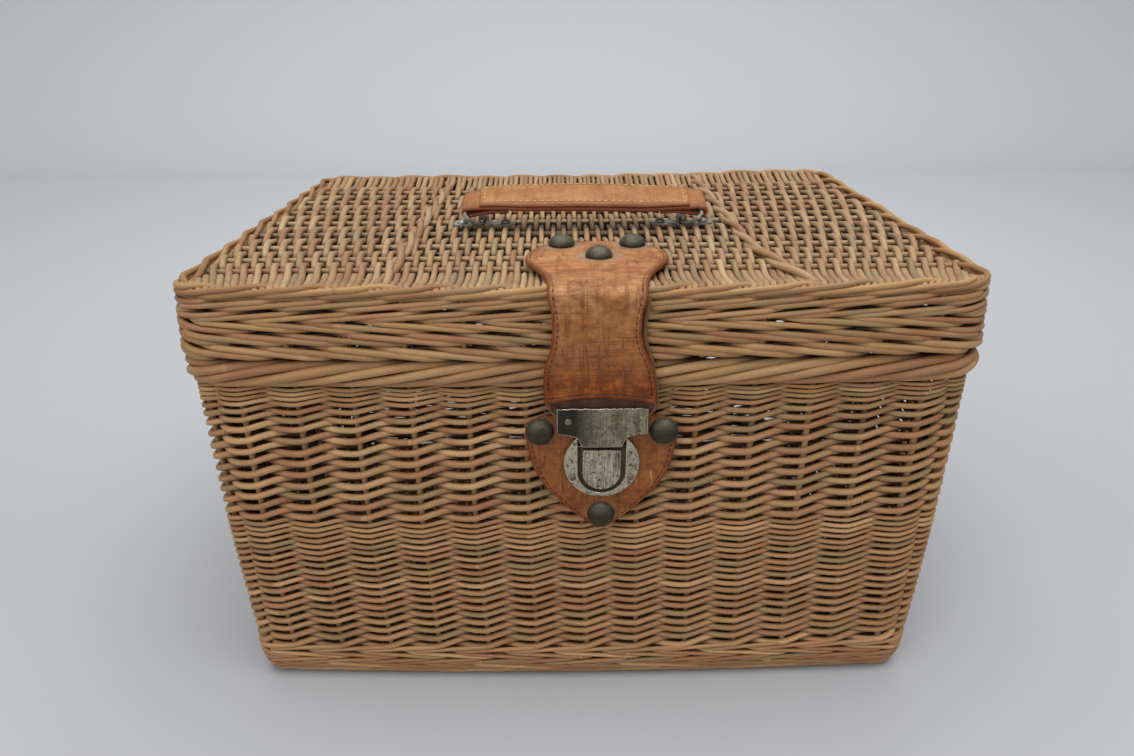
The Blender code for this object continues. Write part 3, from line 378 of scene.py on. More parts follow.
class StrandTubes(BakedTree):
    """Sweeps round rods along lines of points."""

    def __init__(self) -> None:
        """Builds the tree."""
        super().__init__("willow strands", Sides="Int", Finish="Material")
        given, step = self.given, self.step
        line = step("MeshToCurve", {"Mesh": given["Geometry"]})
        thick = step("InputNamedAttribute", {"Name": "thickness"}, data_type="FLOAT")
        circle = step("CurvePrimitiveCircle", {"Resolution": given["Sides"], "Radius": 1.0})
        turn = self.nodes.add("GeometryNodeSplineParameter").outputs["Factor"]
        section = step("StoreNamedAttribute", {"Geometry": circle, "Name": "around", "Value": turn},
                       data_type="FLOAT", domain="POINT")
        self.close(step("CurveToMesh", {"Curve": line, "Profile Curve": section, "Scale": thick,
                                        "Fill Caps": True}))

    def make(self, name: str, strands: Sequence[Strand], sides: int, finish: Material) -> Piece:
        """Sweeps the strands into one plain mesh.

        Args:
            name: The piece's name.
            strands: The rods.
            sides: How many faces go round each rod.
            finish: The willow's material.

        Returns:
            The new object, at the origin.
        """
        mesh = line_mesh(name, [s.points for s in strands], [s.closed for s in strands])
        carried = [s.carried() for s in strands]
        for key in carried[0]:
            layer = mesh.attributes.new(key, "FLOAT", "POINT")
            layer.data.foreach_set("value", np.concatenate([c[key] for c in carried]).astype(np.float32))
        return self.bake(name, mesh, Sides=sides, Finish=finish)


# --------------------------------------------------------------------------- plan of the basket


@dataclass
class Plan:
    """The outline of the basket from above, walked from the middle of the front to the right."""

    half_width: float = 200 * MM
    half_depth: float = 150 * MM
    corner: float = 22 * MM
    bow: float = 5.5 * MM
    middle_y: float = 2.95 * MM
    stakes: int = 48
    samples: int = 1801
    length: float = field(init=False)

    def __post_init__(self) -> None:
        """Makes the table of places and outward directions along the outline."""
        reach_x, reach_y = self.half_width - self.corner, self.half_depth - self.corner
        walk = [(x, -self.half_depth) for x in np.linspace(0, reach_x, 40)]
        for side_x, side_y, start in ((1, -1, 270), (1, 1, 0), (-1, 1, 90), (-1, -1, 180)):
            for k in range(17):
                a = math.radians(start + 90 * k / 16)
                walk.append((side_x * reach_x + self.corner * math.cos(a),
                             side_y * reach_y + self.corner * math.sin(a)))
        walk += [(x, -self.half_depth) for x in np.linspace(-reach_x, 0, 40)]
        line = np.array(walk)
        front = line[:, 1] < 0
        line[front, 1] -= self.bow * np.clip(1 - (line[front, 0] / self.half_width) ** 2, 0, 1)
        keep = np.concatenate([[True], np.linalg.norm(np.diff(line, axis=0), axis=1) > 1e-7])
        line = line[keep]
        run = np.concatenate([[0.0], np.cumsum(np.linalg.norm(np.diff(line, axis=0), axis=1))])
        self.length = float(run[-1])
        even = np.linspace(0, self.length, self.samples)
        x, y = np.interp(even, run, line[:, 0]), np.interp(even, run, line[:, 1])
        step_x = np.roll(x[:-1], -1) - np.roll(x[:-1], 1)
        step_y = np.roll(y[:-1], -1) - np.roll(y[:-1], 1)
        size = np.hypot(step_x, step_y)
        self._run = even
        self._table = [x, y + self.middle_y, np.append(step_y / size, step_y[0] / size[0]),
                       np.append(-step_x / size, -step_x[0] / size[0])]

    def at(self, stake: np.ndarray, inset: np.ndarray | float) -> tuple[np.ndarray, np.ndarray]:
        """X and Y of places inside the outline.

        Args:
            stake: How far round, counted in stakes from the middle of the front.
            inset: How far inside the outline.

        Returns:
            X and Y of the places.
        """
        run = np.mod(np.asarray(stake) * self.length / self.stakes, self.length)
        x, y, out_x, out_y = (np.interp(run, self._run, column) for column in self._table)
        size = np.hypot(out_x, out_y)
        return x - inset * out_x / size, y - inset * out_y / size

    def turns(self, steps: int) -> np.ndarray:
        """Places all the way round from the middle of the back, counted in stakes."""
        return np.arange(self.stakes * steps) / steps + self.stakes / 2

    def front(self, x: float, inset: float) -> float:
        """Y of the front at a place along it, some way inside."""
        return self.middle_y - self.half_depth + inset - self.bow * max(0.0, 1 - (x / self.half_width) ** 2)

    def wobble(self, turn: np.ndarray, rate: float, first: float, second: float) -> np.ndarray:
        """Smooth unevenness round the basket that meets itself.

        Args:
            turn: How far round, in stakes.
            rate: How fast it changes, for each stake.
            first: Picks one of many runs of numbers.
            second: Picks another.

        Returns:
            Numbers from about -1 to 1.
        """
        reach = self.stakes * rate / (2 * math.pi)
        angles = 2 * math.pi * np.asarray(turn) / self.stakes
        return np.array([wobble(reach * math.cos(a) + first * 7.3, reach * math.sin(a) + second * 5.9, first)
                         for a in angles])


def tone_run(count: int, steps: int, rng: random.Random, reach: float = 24.0) -> np.ndarray:
    """Tones along a row of rods that follow each other.

    Args:
        count: How many points the row has.
        steps: How many points lie between two stakes.
        rng: The row's own random numbers.
        reach: How many stakes one rod passes, on average.

    Returns:
        One tone from 0 to 1 for each point.
    """
    tones, left, tone = [], 0, 0.5
    for _ in range(count):
        if left <= 0:
            left = int(rng.uniform(0.5, 1.3) * reach) * steps
            tone = rng.random()
        tones.append(tone)
        left -= 1
    return np.array(tones)


# --------------------------------------------------------------------------- woven body


class Lay(enum.Enum):
    """Which way the rods of a waled row lean as they are seen from outside."""

    UP_TO_RIGHT = 1
    DOWN_TO_RIGHT = -1


@dataclass
class Wall:
    """A woven wall: the plan, how far its middle lies inside at a height, and its rows."""

    plan: Plan
    steps: int = 8
    dip: float = 0.2

    def inset(self, z: np.ndarray | float) -> np.ndarray | float:
        """How far the wall's middle lies inside the plan."""
        raise NotImplementedError

    def strand(self, turn, out, z, radii, tints, closed: bool = True) -> Strand:
        """A rod from how far round, how far out from the wall's middle, and the height."""
        # Painted shade: the further a rod lies behind the wall's middle, the more shade the finish paints on it.
        depth = 0.5 - 0.5 * out / max(1.5 * MM, float(np.max(np.abs(out))))
        return Strand(stacked(*self.plan.at(turn, self.inset(z) - out), z), radii, tints, closed, depth)

    def paired_row(self, z: float, pitch: float, radius: float, reach: float, row: int,
                   shift: float) -> list[Strand]:
        """Two rods that cross between the stakes, each in front of every other stake, where it sags.

        Args:
            z: The row's height.
            pitch: The distance between rows here.
            radius: The rods' radius.
            reach: How far a rod stands out in front of a stake.
            row: The row's number, which seeds its unevenness.
            shift: How far the stakes lean round here, in stakes.

        Returns:
            The two rods.
        """
        rng = random.Random(SEED + 101 * row)
        made = []
        turn, uneven = self.plan.turns(self.steps), self.plan.wobble
        for side in (0, 1):
            phase = math.pi * (turn + side)
            straight = 1 - 2 * np.abs(np.mod((turn + side) / 2 + 0.5, 1.0) * 2 - 1)
            out = reach * (0.6 * np.cos(phase) + 0.4 * straight)
            lift = uneven(turn, 0.31, row * 3.7, side * 5.1)
            level = uneven(turn, 0.06, row * 0.05, 3.0)
            rise = 0.31 * pitch * np.sin(phase) - self.dip * pitch * np.clip(out / reach, 0, 1) ** 1.5
            height = z + rise + lift * 0.07 * pitch + level * 0.1 * pitch
            thick = radius * (1 + 0.09 * uneven(turn, 0.14, row * 2.9 + side, 9.0))
            made.append(self.strand(turn + shift, out, height, thick, tone_run(len(turn), self.steps, rng)))
        return made

    def waled_row(self, z: float, height: float, radius: float, reach: float, row: int, lay: Lay) -> list[Strand]:
        """Three rods, each in front of two stakes and behind one, so two show at any place.

        Args:
            z: The row's middle height.
            height: How tall the row is.
            radius: The rods' radius.
            reach: How far a rod stands out in front of a stake.
            row: The row's number, which seeds its unevenness.
            lay: Which way its rods lean.

        Returns:
            The three rods.
        """
        rng = random.Random(SEED + 503 * row)
        made = []
        turn, uneven = self.plan.turns(self.steps), self.plan.wobble
        for rod in range(3):
            walk = np.mod(turn * lay.value + rod + 0.37 * row, 3.0)
            shown = walk < 2.0
            share = np.where(shown, walk / 2.0, walk - 2.0)
            climb = np.where(shown, 2 * share - 1, np.cos(math.pi * share))
            out = np.where(shown, np.minimum(1, 2.6 * np.sin(math.pi * share)), -np.sin(math.pi * share))
            lift = uneven(turn, 0.23, row * 4.3, rod * 2.7 + 20)
            level = z + climb * (height / 2 - radius * 0.55) + lift * 0.35 * radius
            thick = radius * (1 + 0.1 * uneven(turn, 0.12, row * 1.9 + rod * 7, 5.0))
            made.append(self.strand(turn, out * reach, level, thick, tone_run(len(turn), self.steps, rng, 30)))
        return made

    def stake_rods(self, low: float, high: float, radius: float, lean: float = 0.0) -> list[Strand]:
        """The upright rods of the wall between two heights."""
        rng = random.Random(SEED + 7)
        made = []
        z = np.linspace(low, high, 9)
        for k in range(self.plan.stakes):
            turn = k + lean * (1 - (z - low) / (high - low))
            thick = radius * rng.uniform(0.9, 1.1)
            made.append(self.strand(turn, 0.0, z, thick, rng.random(), False))
        return made


@dataclass
class BodyWall(Wall):
    """The tapered wall of the basket."""

    height: float = 190 * MM
    top_inset: float = 3.7 * MM
    taper: float = 6.8 * MM
    tuck: float = 5.5 * MM
    tuck_height: float = 17 * MM
    thickness: float = 9 * MM

    def inset(self, z: np.ndarray | float) -> np.ndarray | float:
        """The wall's middle: its outer face lies further in towards the foot, which is rounded."""
        tuck = self.tuck * np.clip(1 - z / self.tuck_height, 0, 1) ** 2
        return self.top_inset + self.taper * np.clip(1 - z / self.height, 0, 1) ** 2 + tuck + self.thickness / 2


@dataclass
class WovenBody:
    """Foot, two zones of paired rows that thin upwards, and the stakes. Rows are heights in millimetres."""

    wall: BodyWall
    tubes: StrandTubes
    willow: Material
    foot_radius: float = 1.24 * MM
    foot_pitch: float = 5.9 * MM
    foot_rows: tuple[float, ...] = (4.1, 8.8, 13.4, 18.0, 22.6)
    split: float = 112.2 * MM
    lower_rows: tuple[float, ...] = (25.4, 32.4, 38.3, 43.9, 49.5, 54.7, 59.9, 65.1, 70.1, 75.1, 79.7, 84.4, 88.8,
                                     92.9, 96.5, 100.1, 103.7, 107.1, 110.5)
    upper_rows: tuple[float, ...] = (115.8, 122.3, 128.8, 135.2, 141.7, 148.4, 155.1, 161.6, 167.6, 173.2,
                                     178.1, 182, 184.7, 187.1, 189.3)
    stake_radius: float = 1.7 * MM
    stake_ends: tuple[float, float] = mm(2, 196)
    lean: float = 0.12
    sides: int = 6

    def reach(self, radius: float) -> float:
        """How far out a rod of this radius goes, so that the wall keeps its thickness."""
        return self.wall.thickness / 2 + 0.1 * MM - radius

    def zone(self, rows: Sequence[float], first: int) -> list[Strand]:
        """The rods of one zone, two for each row, where first is the number of the lowest row."""
        made = []
        for row, (z, pitch) in enumerate(zip(rows, np.gradient(np.array(rows)) * MM), first):
            radius = 0.52 * MM + 0.19 * pitch
            shift = self.lean * max(0.0, 1 - z * MM / self.split)
            made += self.wall.paired_row(z * MM, pitch, radius, self.reach(radius), row, shift)
        return made

    def foot(self) -> list[Strand]:
        """Close waled rows from the ground up."""
        made = []
        lays = (Lay.UP_TO_RIGHT, Lay.DOWN_TO_RIGHT)
        for row, z in enumerate(self.foot_rows):
            made += self.wall.waled_row(z * MM, self.foot_pitch, self.foot_radius, self.reach(self.foot_radius),
                                        row + 60, lays[row % 2])
        return made

    def build(self) -> list[Piece]:
        """Makes the foot, both zones and the stakes."""
        low, high = self.stake_ends
        stakes = self.wall.stake_rods(low, self.split, self.stake_radius, self.lean)
        stakes += self.wall.stake_rods(self.split, high, self.stake_radius)
        rows = (("foot_wale_rods", self.foot(), 8, "foot_wale"),
                ("siding_lower_rods", self.zone(self.lower_rows, 0), self.sides, "siding_lower"),
                ("siding_upper_rods", self.zone(self.upper_rows, 30), self.sides + 1, "siding_upper"),
                ("body_stakes", stakes, 8))
        return [place_piece(self.tubes.make(name, strands, sides, self.willow), "basket", "willow_weave", *nodes)
                for name, strands, sides, *nodes in rows]


@dataclass
class RolledBorder:
    """The rim: rods that wind round it like the strands of a rope, with two core rods inside."""

    plan: Plan
    tubes: StrandTubes
    willow: Material
    low: float = 190.3 * MM
    high: float = 205.3 * MM
    outer: float = -1.0 * MM
    inner: float = 11.5 * MM
    rods: int = 6
    radius: float = 2.36 * MM
    core: float = 2.4 * MM
    steps: int = 8

    def build(self) -> list[Piece]:
        """Makes the wound rods and the core."""
        plan, turn = self.plan, self.plan.turns(self.steps)
        mid_z, mid_in = (self.low + self.high) / 2, (self.outer + self.inner) / 2
        up, wide = (self.high - self.low) / 2 - self.radius, (self.inner - self.outer) / 2 - self.radius
        made = []
        for rod in range(self.rods):
            rng = random.Random(SEED + 900 + rod)
            bend = plan.wobble(turn, 0.2, rod * 3.1, 60.0)
            angle = 2 * math.pi * (turn / self.rods + rod / self.rods) + 0.16 * bend
            z = mid_z + up * np.sin(angle)
            inset = mid_in - wide * np.cos(angle) + 0.14 * (self.high - z)
            thick = self.radius * (1 + 0.1 * plan.wobble(turn, 0.15, rod * 5.7, 66.0))
            # Painted shade by depth: on the inner side of each wound rod, and all over the core rods.
            made.append(Strand(stacked(*plan.at(turn, inset), z), thick, tone_run(len(turn), self.steps, rng, 12),
                               depth=0.5 - 0.62 * np.cos(angle)))
        for drop in (-self.core, self.core):
            made.append(Strand(stacked(*plan.at(turn, mid_in), mid_z + drop), self.core, 0.4, depth=1.0))
        return [place_piece(self.tubes.make("border_rods", made, 8, self.willow), "basket", "willow_rods",
                            "body_border")]


# --------------------------------------------------------------------------- lid


@dataclass
class LidWall(Wall):
    """The skirt of the lid, flared towards its lower edge. Its top edge is a little warped."""

    seat: float = 205.6 * MM
    top: float = 240.6 * MM
    flare: float = 2.3 * MM
    thickness: float = 7.2 * MM
    warp: float = 3.2 * MM

    def inset(self, z: np.ndarray | float) -> np.ndarray | float:
        """The skirt's middle at a height."""
        return self.flare * (z - self.seat) / (self.top - self.seat) + self.thickness / 2

    def lift(self, strands: Sequence[Strand]) -> None:
        """Gives rods of the lid its warp: the back right corner of the top stands higher."""
        for strand in strands:
            x, y, z = strand.points.T
            share = np.clip((z - self.seat) / (self.top - self.seat), 0, 1.2)
            right = np.clip((x - 20 * MM) / (180 * MM), 0, 1)
            back = np.clip((y + 150 * MM) / (300 * MM), 0, 1)
            strand.points = stacked(x, y, z + self.warp * share * right * (0.12 + 0.88 * back) ** 1.3)


@dataclass
class LidSkirt:
    """Waled rows round the lid, given by their lower and upper edge in millimetres, with rods behind them."""

    wall: LidWall
    tubes: StrandTubes
    willow: Material
    rows: tuple[tuple[float, float, Lay], ...] = (
        (206.1, 213.4, Lay.DOWN_TO_RIGHT), (213.2, 219.9, Lay.DOWN_TO_RIGHT), (219.5, 225.9, Lay.DOWN_TO_RIGHT),
        (224.7, 230.5, Lay.UP_TO_RIGHT), (230.1, 236.1, Lay.UP_TO_RIGHT), (235.7, 242.3, Lay.UP_TO_RIGHT))
    stake_radius: float = 1.5 * MM
    behind: tuple[float, ...] = mm(219.8, 227.4, 232.6)
    behind_radius: float = 1.7 * MM
    behind_inset: float = 1.9 * MM

    def build(self) -> list[Piece]:
        """Makes the rows, the short uprights between them and the rods behind. The top row is lit more."""
        wall, made = self.wall, []
        for row, (low, high, lay) in enumerate(self.rows, 80):
            height = (high - low) * MM
            radius = height * 0.24
            reach = wall.thickness / 2 - radius + 0.2 * MM
            made += wall.waled_row((low + high) / 2 * MM, height, radius, reach, row, lay)
        # Half the painted shade on the rods of the top row.
        for strand in made[-3:]:
            strand.depth = strand.depth * 0.5
        made += wall.stake_rods(wall.seat + 1 * MM, wall.top - 3 * MM, self.stake_radius)
        turn = wall.plan.turns(wall.steps)
        made += [wall.strand(turn, -self.behind_inset, z, self.behind_radius, 0.5) for z in self.behind]
        wall.lift(made)
        return [place_piece(self.tubes.make("lid_skirt_rods", made, 8, self.willow), "lid", "willow_weave",
                            "lid_skirt", "lid_edge_front", "lid_edge_right", "lid_edge_back", "lid_edge_left")]


@dataclass
class FlatWeave:
    """Rods side by side, front to back, that pass over and under cross sticks inside the plan.

    The fan turns them outwards towards the back and widens them. Their ends bend down by end_fall.
    """

    plan: Plan
    middle_z: float
    rod_radius: float
    pitch: float
    swing: float
    sticks: tuple[float, ...]
    edge: float
    edge_lift: float = 0.0
    stick_radius: float = 1.7 * MM
    fan: float = 0.0
    fan_depth: float = 140 * MM
    widen: float = 0.0
    end_fall: float = 2.6 * MM
    end_steps: tuple[float, ...] = mm(0.0, 1.0, 2.1, 3.5, 5.3)
    step: float = 4.2 * MM
    seed: int = 0

    def limits(self, x: float) -> tuple[float, float]:
        """The Y of the front and the back end of a rod."""
        half = self.plan.half_width - self.edge
        corner = max(0.0, abs(x) - (half - self.plan.corner + self.edge * 0.5))
        radius = self.plan.corner - self.edge * 0.5
        pull = radius - math.sqrt(max(0.0, radius ** 2 - min(corner, radius) ** 2))
        back = self.plan.middle_y + self.plan.half_depth - self.edge - pull
        return self.plan.front(x, self.edge) + pull, back

    def profile(self, y: np.ndarray, parity: int, ends: tuple[float, float]) -> np.ndarray:
        """Height of a rod's middle line above the panel's middle.

        Args:
            y: Places along the rod.
            parity: Whether it passes over or under the first stick.
            ends: Y of its two ends.

        Returns:
            The heights.
        """
        knots = [ends[0], self.sticks[0] - 11 * MM, *self.sticks, (ends[1] + self.sticks[-1]) / 2 - 6 * MM, ends[1]]
        signs = [0.0, 0.0, *((-1.0) ** (parity + k) for k in range(len(self.sticks))), 0.0, 0.0]
        knots, signs = np.array(knots), np.array(signs)
        place = np.clip(np.searchsorted(knots, y) - 1, 0, len(knots) - 2)
        share = np.clip((y - knots[place]) / (knots[place + 1] - knots[place]), 0, 1)
        ease = (1 - np.cos(math.pi * share)) / 2
        wave = signs[place] * (1 - ease) + signs[place + 1] * ease
        near = np.minimum(y - ends[0], ends[1] - y)
        return wave * self.swing + np.clip(1 - near / (26 * MM), 0, 1) ** 1.5 * self.edge_lift

    def rods(self, half: float) -> list[Strand]:
        """The rods up to this far on both sides of the middle."""
        rng = random.Random(SEED + self.seed + int(half * 1e5))
        count = max(1, round(2 * half / self.pitch))
        steps = np.array(self.end_steps)
        made = []
        for k in range(count):
            x = -half + 2 * half * (k + 0.5) / count + rng.uniform(-0.12, 0.12) * self.pitch
            ends = front, back = self.limits(x)
            y = np.concatenate([front + steps, np.arange(front + 8 * MM, back - 7 * MM, self.step),
                                back - steps[::-1]])
            opened = 1 - np.exp(-(y - front) / self.fan_depth)
            drift = self.fan * x * abs(x) * opened
            side = self.plan.half_width - self.edge - self.rod_radius - np.abs(x + drift)
            inside = side > 0
            if inside.sum() < 3:
                continue
            rise = self.profile(y, k, ends)
            # Painted shade by depth: a rod is darker where it dips under a stick.
            depth = 0.35 - rise / (2 * self.swing)
            near = np.minimum(y - front, back - y)
            fall = self.end_fall * np.clip(1 - near / (5.5 * MM), 0, 1) ** 2
            z = self.middle_z + rise - fall - 1.6 * MM * np.clip(1 - side / (7 * MM), 0, 1) ** 2
            y, z, drift, depth, opened = (values[inside] for values in (y, z, drift, depth, opened))
            calm = np.clip((y - front - 22 * MM) / (30 * MM), 0.12, 1)
            sway = np.array([wobble(x * 300, v * 25, 11.0) for v in y]) * 0.42 * MM * calm
            thick = self.rod_radius * rng.uniform(0.88, 1.08) * (1 + self.widen * self.fan * abs(x) * opened)
            thick = thick * (1 + 0.17 * np.clip(1 - (y - front - 30 * MM) / (8 * MM), 0, 1))
            made.append(Strand(stacked(x + sway + drift, y, z), thick, rng.random(), False, depth))
        return made

    def cross_sticks(self, half: float) -> list[Strand]:
        """The sticks across the panel."""
        rng = random.Random(SEED + self.seed + 5)
        x = np.linspace(-half, half, 40)
        made = []
        for y in self.sticks:
            bend = np.array([wobble(v * 9, y * 70, 3.0) for v in x]) * 0.8 * MM
            made.append(Strand(stacked(x, y + bend, self.middle_z), self.stick_radius, rng.random(), False))
        return made


@dataclass
class LidTop:
    """The woven top of the lid: one span of rods, two twisted ribs on it and a frame under its edges."""

    wall: LidWall
    tubes: StrandTubes
    willow: Material
    middle_z: float = 237 * MM
    edge: float = 4.4 * MM
    sticks: tuple[float, ...] = mm(-103, -82, -56, -26, 5, 37, 70, 105)
    ribs: tuple[float, ...] = mm(-96, 94)
    rib_radius: float = 2.05 * MM
    rib_half_turn: float = 33 * MM
    frame_inset: float = 6.2 * MM
    frame_z: float = 235.8 * MM
    frame_radius: float = 2.3 * MM

    def twisted_rib(self, x: float, seed: int) -> list[Strand]:
        """Two rods wound round each other from the front to the back. The right rib bends outwards in front."""
        plan, ends = self.wall.plan, self.edge + 3 * MM
        y = np.linspace(plan.front(x, ends), plan.middle_y + plan.half_depth - self.edge - 3 * MM, 90)
        made = []
        for side in (0, 1):
            angle = math.pi * (y / self.rib_half_turn + side) + seed
            bend = 14 * MM * np.clip((-70 * MM - y) / (70 * MM), 0, 1) * (x > 0)
            points = stacked(x + bend + 1.9 * MM * np.cos(angle), y,
                             self.middle_z + 2.6 * MM + 1.5 * MM * np.sin(angle))
            made.append(Strand(points, self.rib_radius, 0.2 + 0.5 * side, False))
        return made

    def build(self) -> list[Piece]:
        """Makes the rods, the sticks, the ribs and the frame."""
        plan = self.wall.plan
        weave = FlatWeave(plan, self.middle_z, rod_radius=1.6 * MM, pitch=3.35 * MM, swing=2.3 * MM,
                          sticks=self.sticks, edge=self.edge, edge_lift=4.6 * MM, fan=2.1, widen=1.7)
        half = plan.half_width - self.edge - 1 * MM
        made = weave.cross_sticks(half) + weave.rods(half)
        for seed, x in enumerate(self.ribs):
            made += self.twisted_rib(x, seed)
        around = plan.at(plan.turns(4) - plan.stakes / 2, self.frame_inset)
        made.append(Strand(stacked(*around, self.frame_z), self.frame_radius, 0.6))
        self.wall.lift(made)
        return [place_piece(self.tubes.make("lid_top_rods", made, 6, self.willow), "lid", "willow_weave",
                            "lid_panel_left", "lid_panel_middle", "lid_panel_right", "lid_rib_left",
                            "lid_rib_right")]


@dataclass
class Base:
    """The woven floor of the basket."""

    wall: BodyWall
    tubes: StrandTubes
    willow: Material
    middle_z: float = 6.5 * MM
    edge: float = 17 * MM
    sticks: tuple[float, ...] = mm(*range(-112, 113, 32))

    def build(self) -> list[Piece]:
        """Makes the floor's rods and sticks."""
        plan = self.wall.plan
        weave = FlatWeave(plan, self.middle_z, rod_radius=1.7 * MM, pitch=4.1 * MM, swing=1.8 * MM,
                          sticks=self.sticks, edge=self.edge, step=5.2 * MM, seed=77)
        half = plan.half_width - self.edge
        made = weave.cross_sticks(half) + weave.rods(half)
        return [place_piece(self.tubes.make("base_rods", made, 6, self.willow), "basket", "willow_weave",
                            "base_weave")]


# --------------------------------------------------------------------------- leather


@dataclass(frozen=True)
class LeatherFinish:
    """Worn saddle leather with crossing creases, a rubbed edge, holes along it and dust where it is nailed.

    From the first run of fade to the second it turns to the rubbed tone. Each dusty spot is X, Y, Z and a radius.
    """

    name: str
    base: str = "ae6f3c"
    dark: str = "582a0e"
    light: str = "c08b5b"
    rubbed: str = "6c2d04"
    amber: str = "bd6c22"
    scratch: str = "d8b592"
    hole: str = "331a0d"
    dust: str = "857b6c"
    crease: float = 0.62
    crease_size: float = 8.5 * MM
    roughness: float = 0.46
    hole_inset: float = 2.6 * MM
    hole_pitch: float = 3.0 * MM
    holes: float = 1.0
    fade: Optional[tuple[float, float]] = None
    dusty: tuple[tuple[float, ...], ...] = ()
    scratches: float = 0.3
    mottled: float = 0.55

    def cells(self, nodes: Paint, flat: Socket) -> Socket:
        """Lines between irregular cells on the leather laid flat, 1 on a line."""
        size = self.crease_size * 0.55
        bent = nodes.add("ShaderNodeTexNoise", {"Vector": flat, "Scale": 0.55 / size, "Detail": 3.0}).outputs[1]
        off = nodes.add("ShaderNodeVectorMath", {0: bent, 1: (0.5, 0.5, 0.5)}, operation="SUBTRACT").outputs[0]
        off = nodes.add("ShaderNodeVectorMath", {0: off, 3: size * 0.9}, operation="SCALE").outputs[0]
        place = nodes.add("ShaderNodeVectorMath", {0: flat, 1: off}, operation="ADD").outputs[0]
        far = nodes.add("ShaderNodeTexVoronoi", {"Vector": place, "Scale": 1 / size, "Randomness": 0.75},
                        feature="DISTANCE_TO_EDGE").outputs[0]
        return nodes.ramp(far, (0.0, 1.0), (0.05, 0.0))

    def lines(self, nodes: Paint, across: Socket, run: Socket, wide: float, high: float) -> Socket:
        """Thin wandering lines, 1 on a line, where a noise drawn out by two scales crosses its middle."""
        size = self.crease_size
        flat = nodes.vector(nodes.times(across, wide / size), nodes.times(run, high / size), 3.0)
        off = nodes.math("ABSOLUTE", nodes.math("SUBTRACT", nodes.noise(flat, 1.0), 0.5))
        return nodes.ramp(off, (0.0, 1.0), (0.008, 0.75), (0.032, 0.0))

    def material(self) -> Material:
        """The finish as a material that reads the leather's run, across and edge."""
        nodes = Paint(self.name)
        run, across, edge = (nodes.attribute(n) for n in ("run", "across", "edge"))
        place, most = nodes.here(), "MAXIMUM"
        cloud, blots = nodes.noise(place, 34.0, 5.0, 0.62), nodes.noise(place, 62.0, 5.0, 0.7)
        tone = nodes.stain(self.base, cloud, 0.34, 0.66, 1.0, self.light)
        tone = nodes.stain(tone, blots, 0.47, 0.72, 0.62, self.dark)
        tone = nodes.stain(tone, nodes.noise(place, 240.0, 4.0, 0.7), 0.42, 0.7, self.mottled, self.dark)
        rough = nodes.times_plus(blots, 0.3, self.roughness - 0.1)
        if self.fade:
            low = nodes.span(run, *self.fade, 0.0, 0.95)
            patchy = nodes.times(low, nodes.ramp(cloud, (0.25, 0.6), (0.55, 1.0)))
            tone = nodes.mix(patchy, tone, self.rubbed)
            amber = nodes.ramp(nodes.noise(place, 170.0, 5.0, 0.7), (0.48, 0.0), (0.66, 0.62))
            tone = nodes.mix(nodes.times(amber, nodes.times_plus(low, 0.7, 0.4)), tone, self.amber)
            rough = nodes.times_plus(low, -0.16, rough)
        level, plumb, fine = (self.lines(nodes, across, run, *drawn) for drawn in ((0.12, 1.2), (1.3, 0.1), (0.5, 5)))
        weak = nodes.times(nodes.math(most, self.cells(nodes, nodes.vector(across, run)), fine), 0.5)
        crack = nodes.times(nodes.math(most, nodes.math(most, level, plumb), weak), self.crease)
        crack = nodes.times(crack, nodes.ramp(nodes.noise(place, 90.0, 3.0), (0.35, 0.15), (0.62, 1.0)))
        tone = nodes.mix(crack, tone, self.dark)
        streaks = nodes.streaks(4.0, 0.7, (across, 500.0), (run, 42.0))
        tone = nodes.stain(tone, streaks, 0.64, 0.72, self.scratches, self.scratch)
        rim = nodes.ramp(nodes.times(edge, 250.0), (0.0, 1.0), (0.34, 0.9), (0.5, 0.0))
        tone = nodes.mix(nodes.times(rim, 0.75), tone, self.rubbed)
        groove = nodes.math("ABSOLUTE", nodes.math("SUBTRACT", edge, self.hole_inset))
        groove = nodes.ramp(nodes.times(groove, 1000.0), (0.0, 1.0), (0.55, 0.0))
        beat = nodes.math("FRACT", nodes.math("DIVIDE", run, self.hole_pitch))
        beat = nodes.ramp(nodes.math("ABSOLUTE", nodes.math("SUBTRACT", beat, 0.5)), (0.12, 1.0), (0.24, 0.0))
        hole = nodes.times(nodes.times(groove, beat), self.holes)
        tone = nodes.mix(nodes.times(groove, 0.25), tone, self.dark)
        tone = nodes.mix(nodes.times(hole, 0.75), tone, self.hole)
        for x, y, z, radius in self.dusty:
            far = nodes.add("ShaderNodeVectorMath", {0: place, 1: (x, y, z)}, operation="DISTANCE").outputs[1]
            far = nodes.times_plus(nodes.noise(place, 260.0, 4.0, 0.7), radius * 0.9, far)
            near = nodes.ramp(nodes.math("DIVIDE", far, radius * 1.9), (0.45, 0.75), (0.85, 0.0))
            tone = nodes.mix(near, tone, self.dust)
        height = nodes.times_plus(nodes.noise(place, 1150.0, 3.0, 0.6), 0.3, nodes.times(crack, -0.9))
        height = nodes.math("SUBTRACT", height, nodes.math("ADD", groove, hole))
        return nodes.finish(color=tone, roughness=rough, specular=0.26, normal=nodes.bump(height, 0.0004, 0.9))


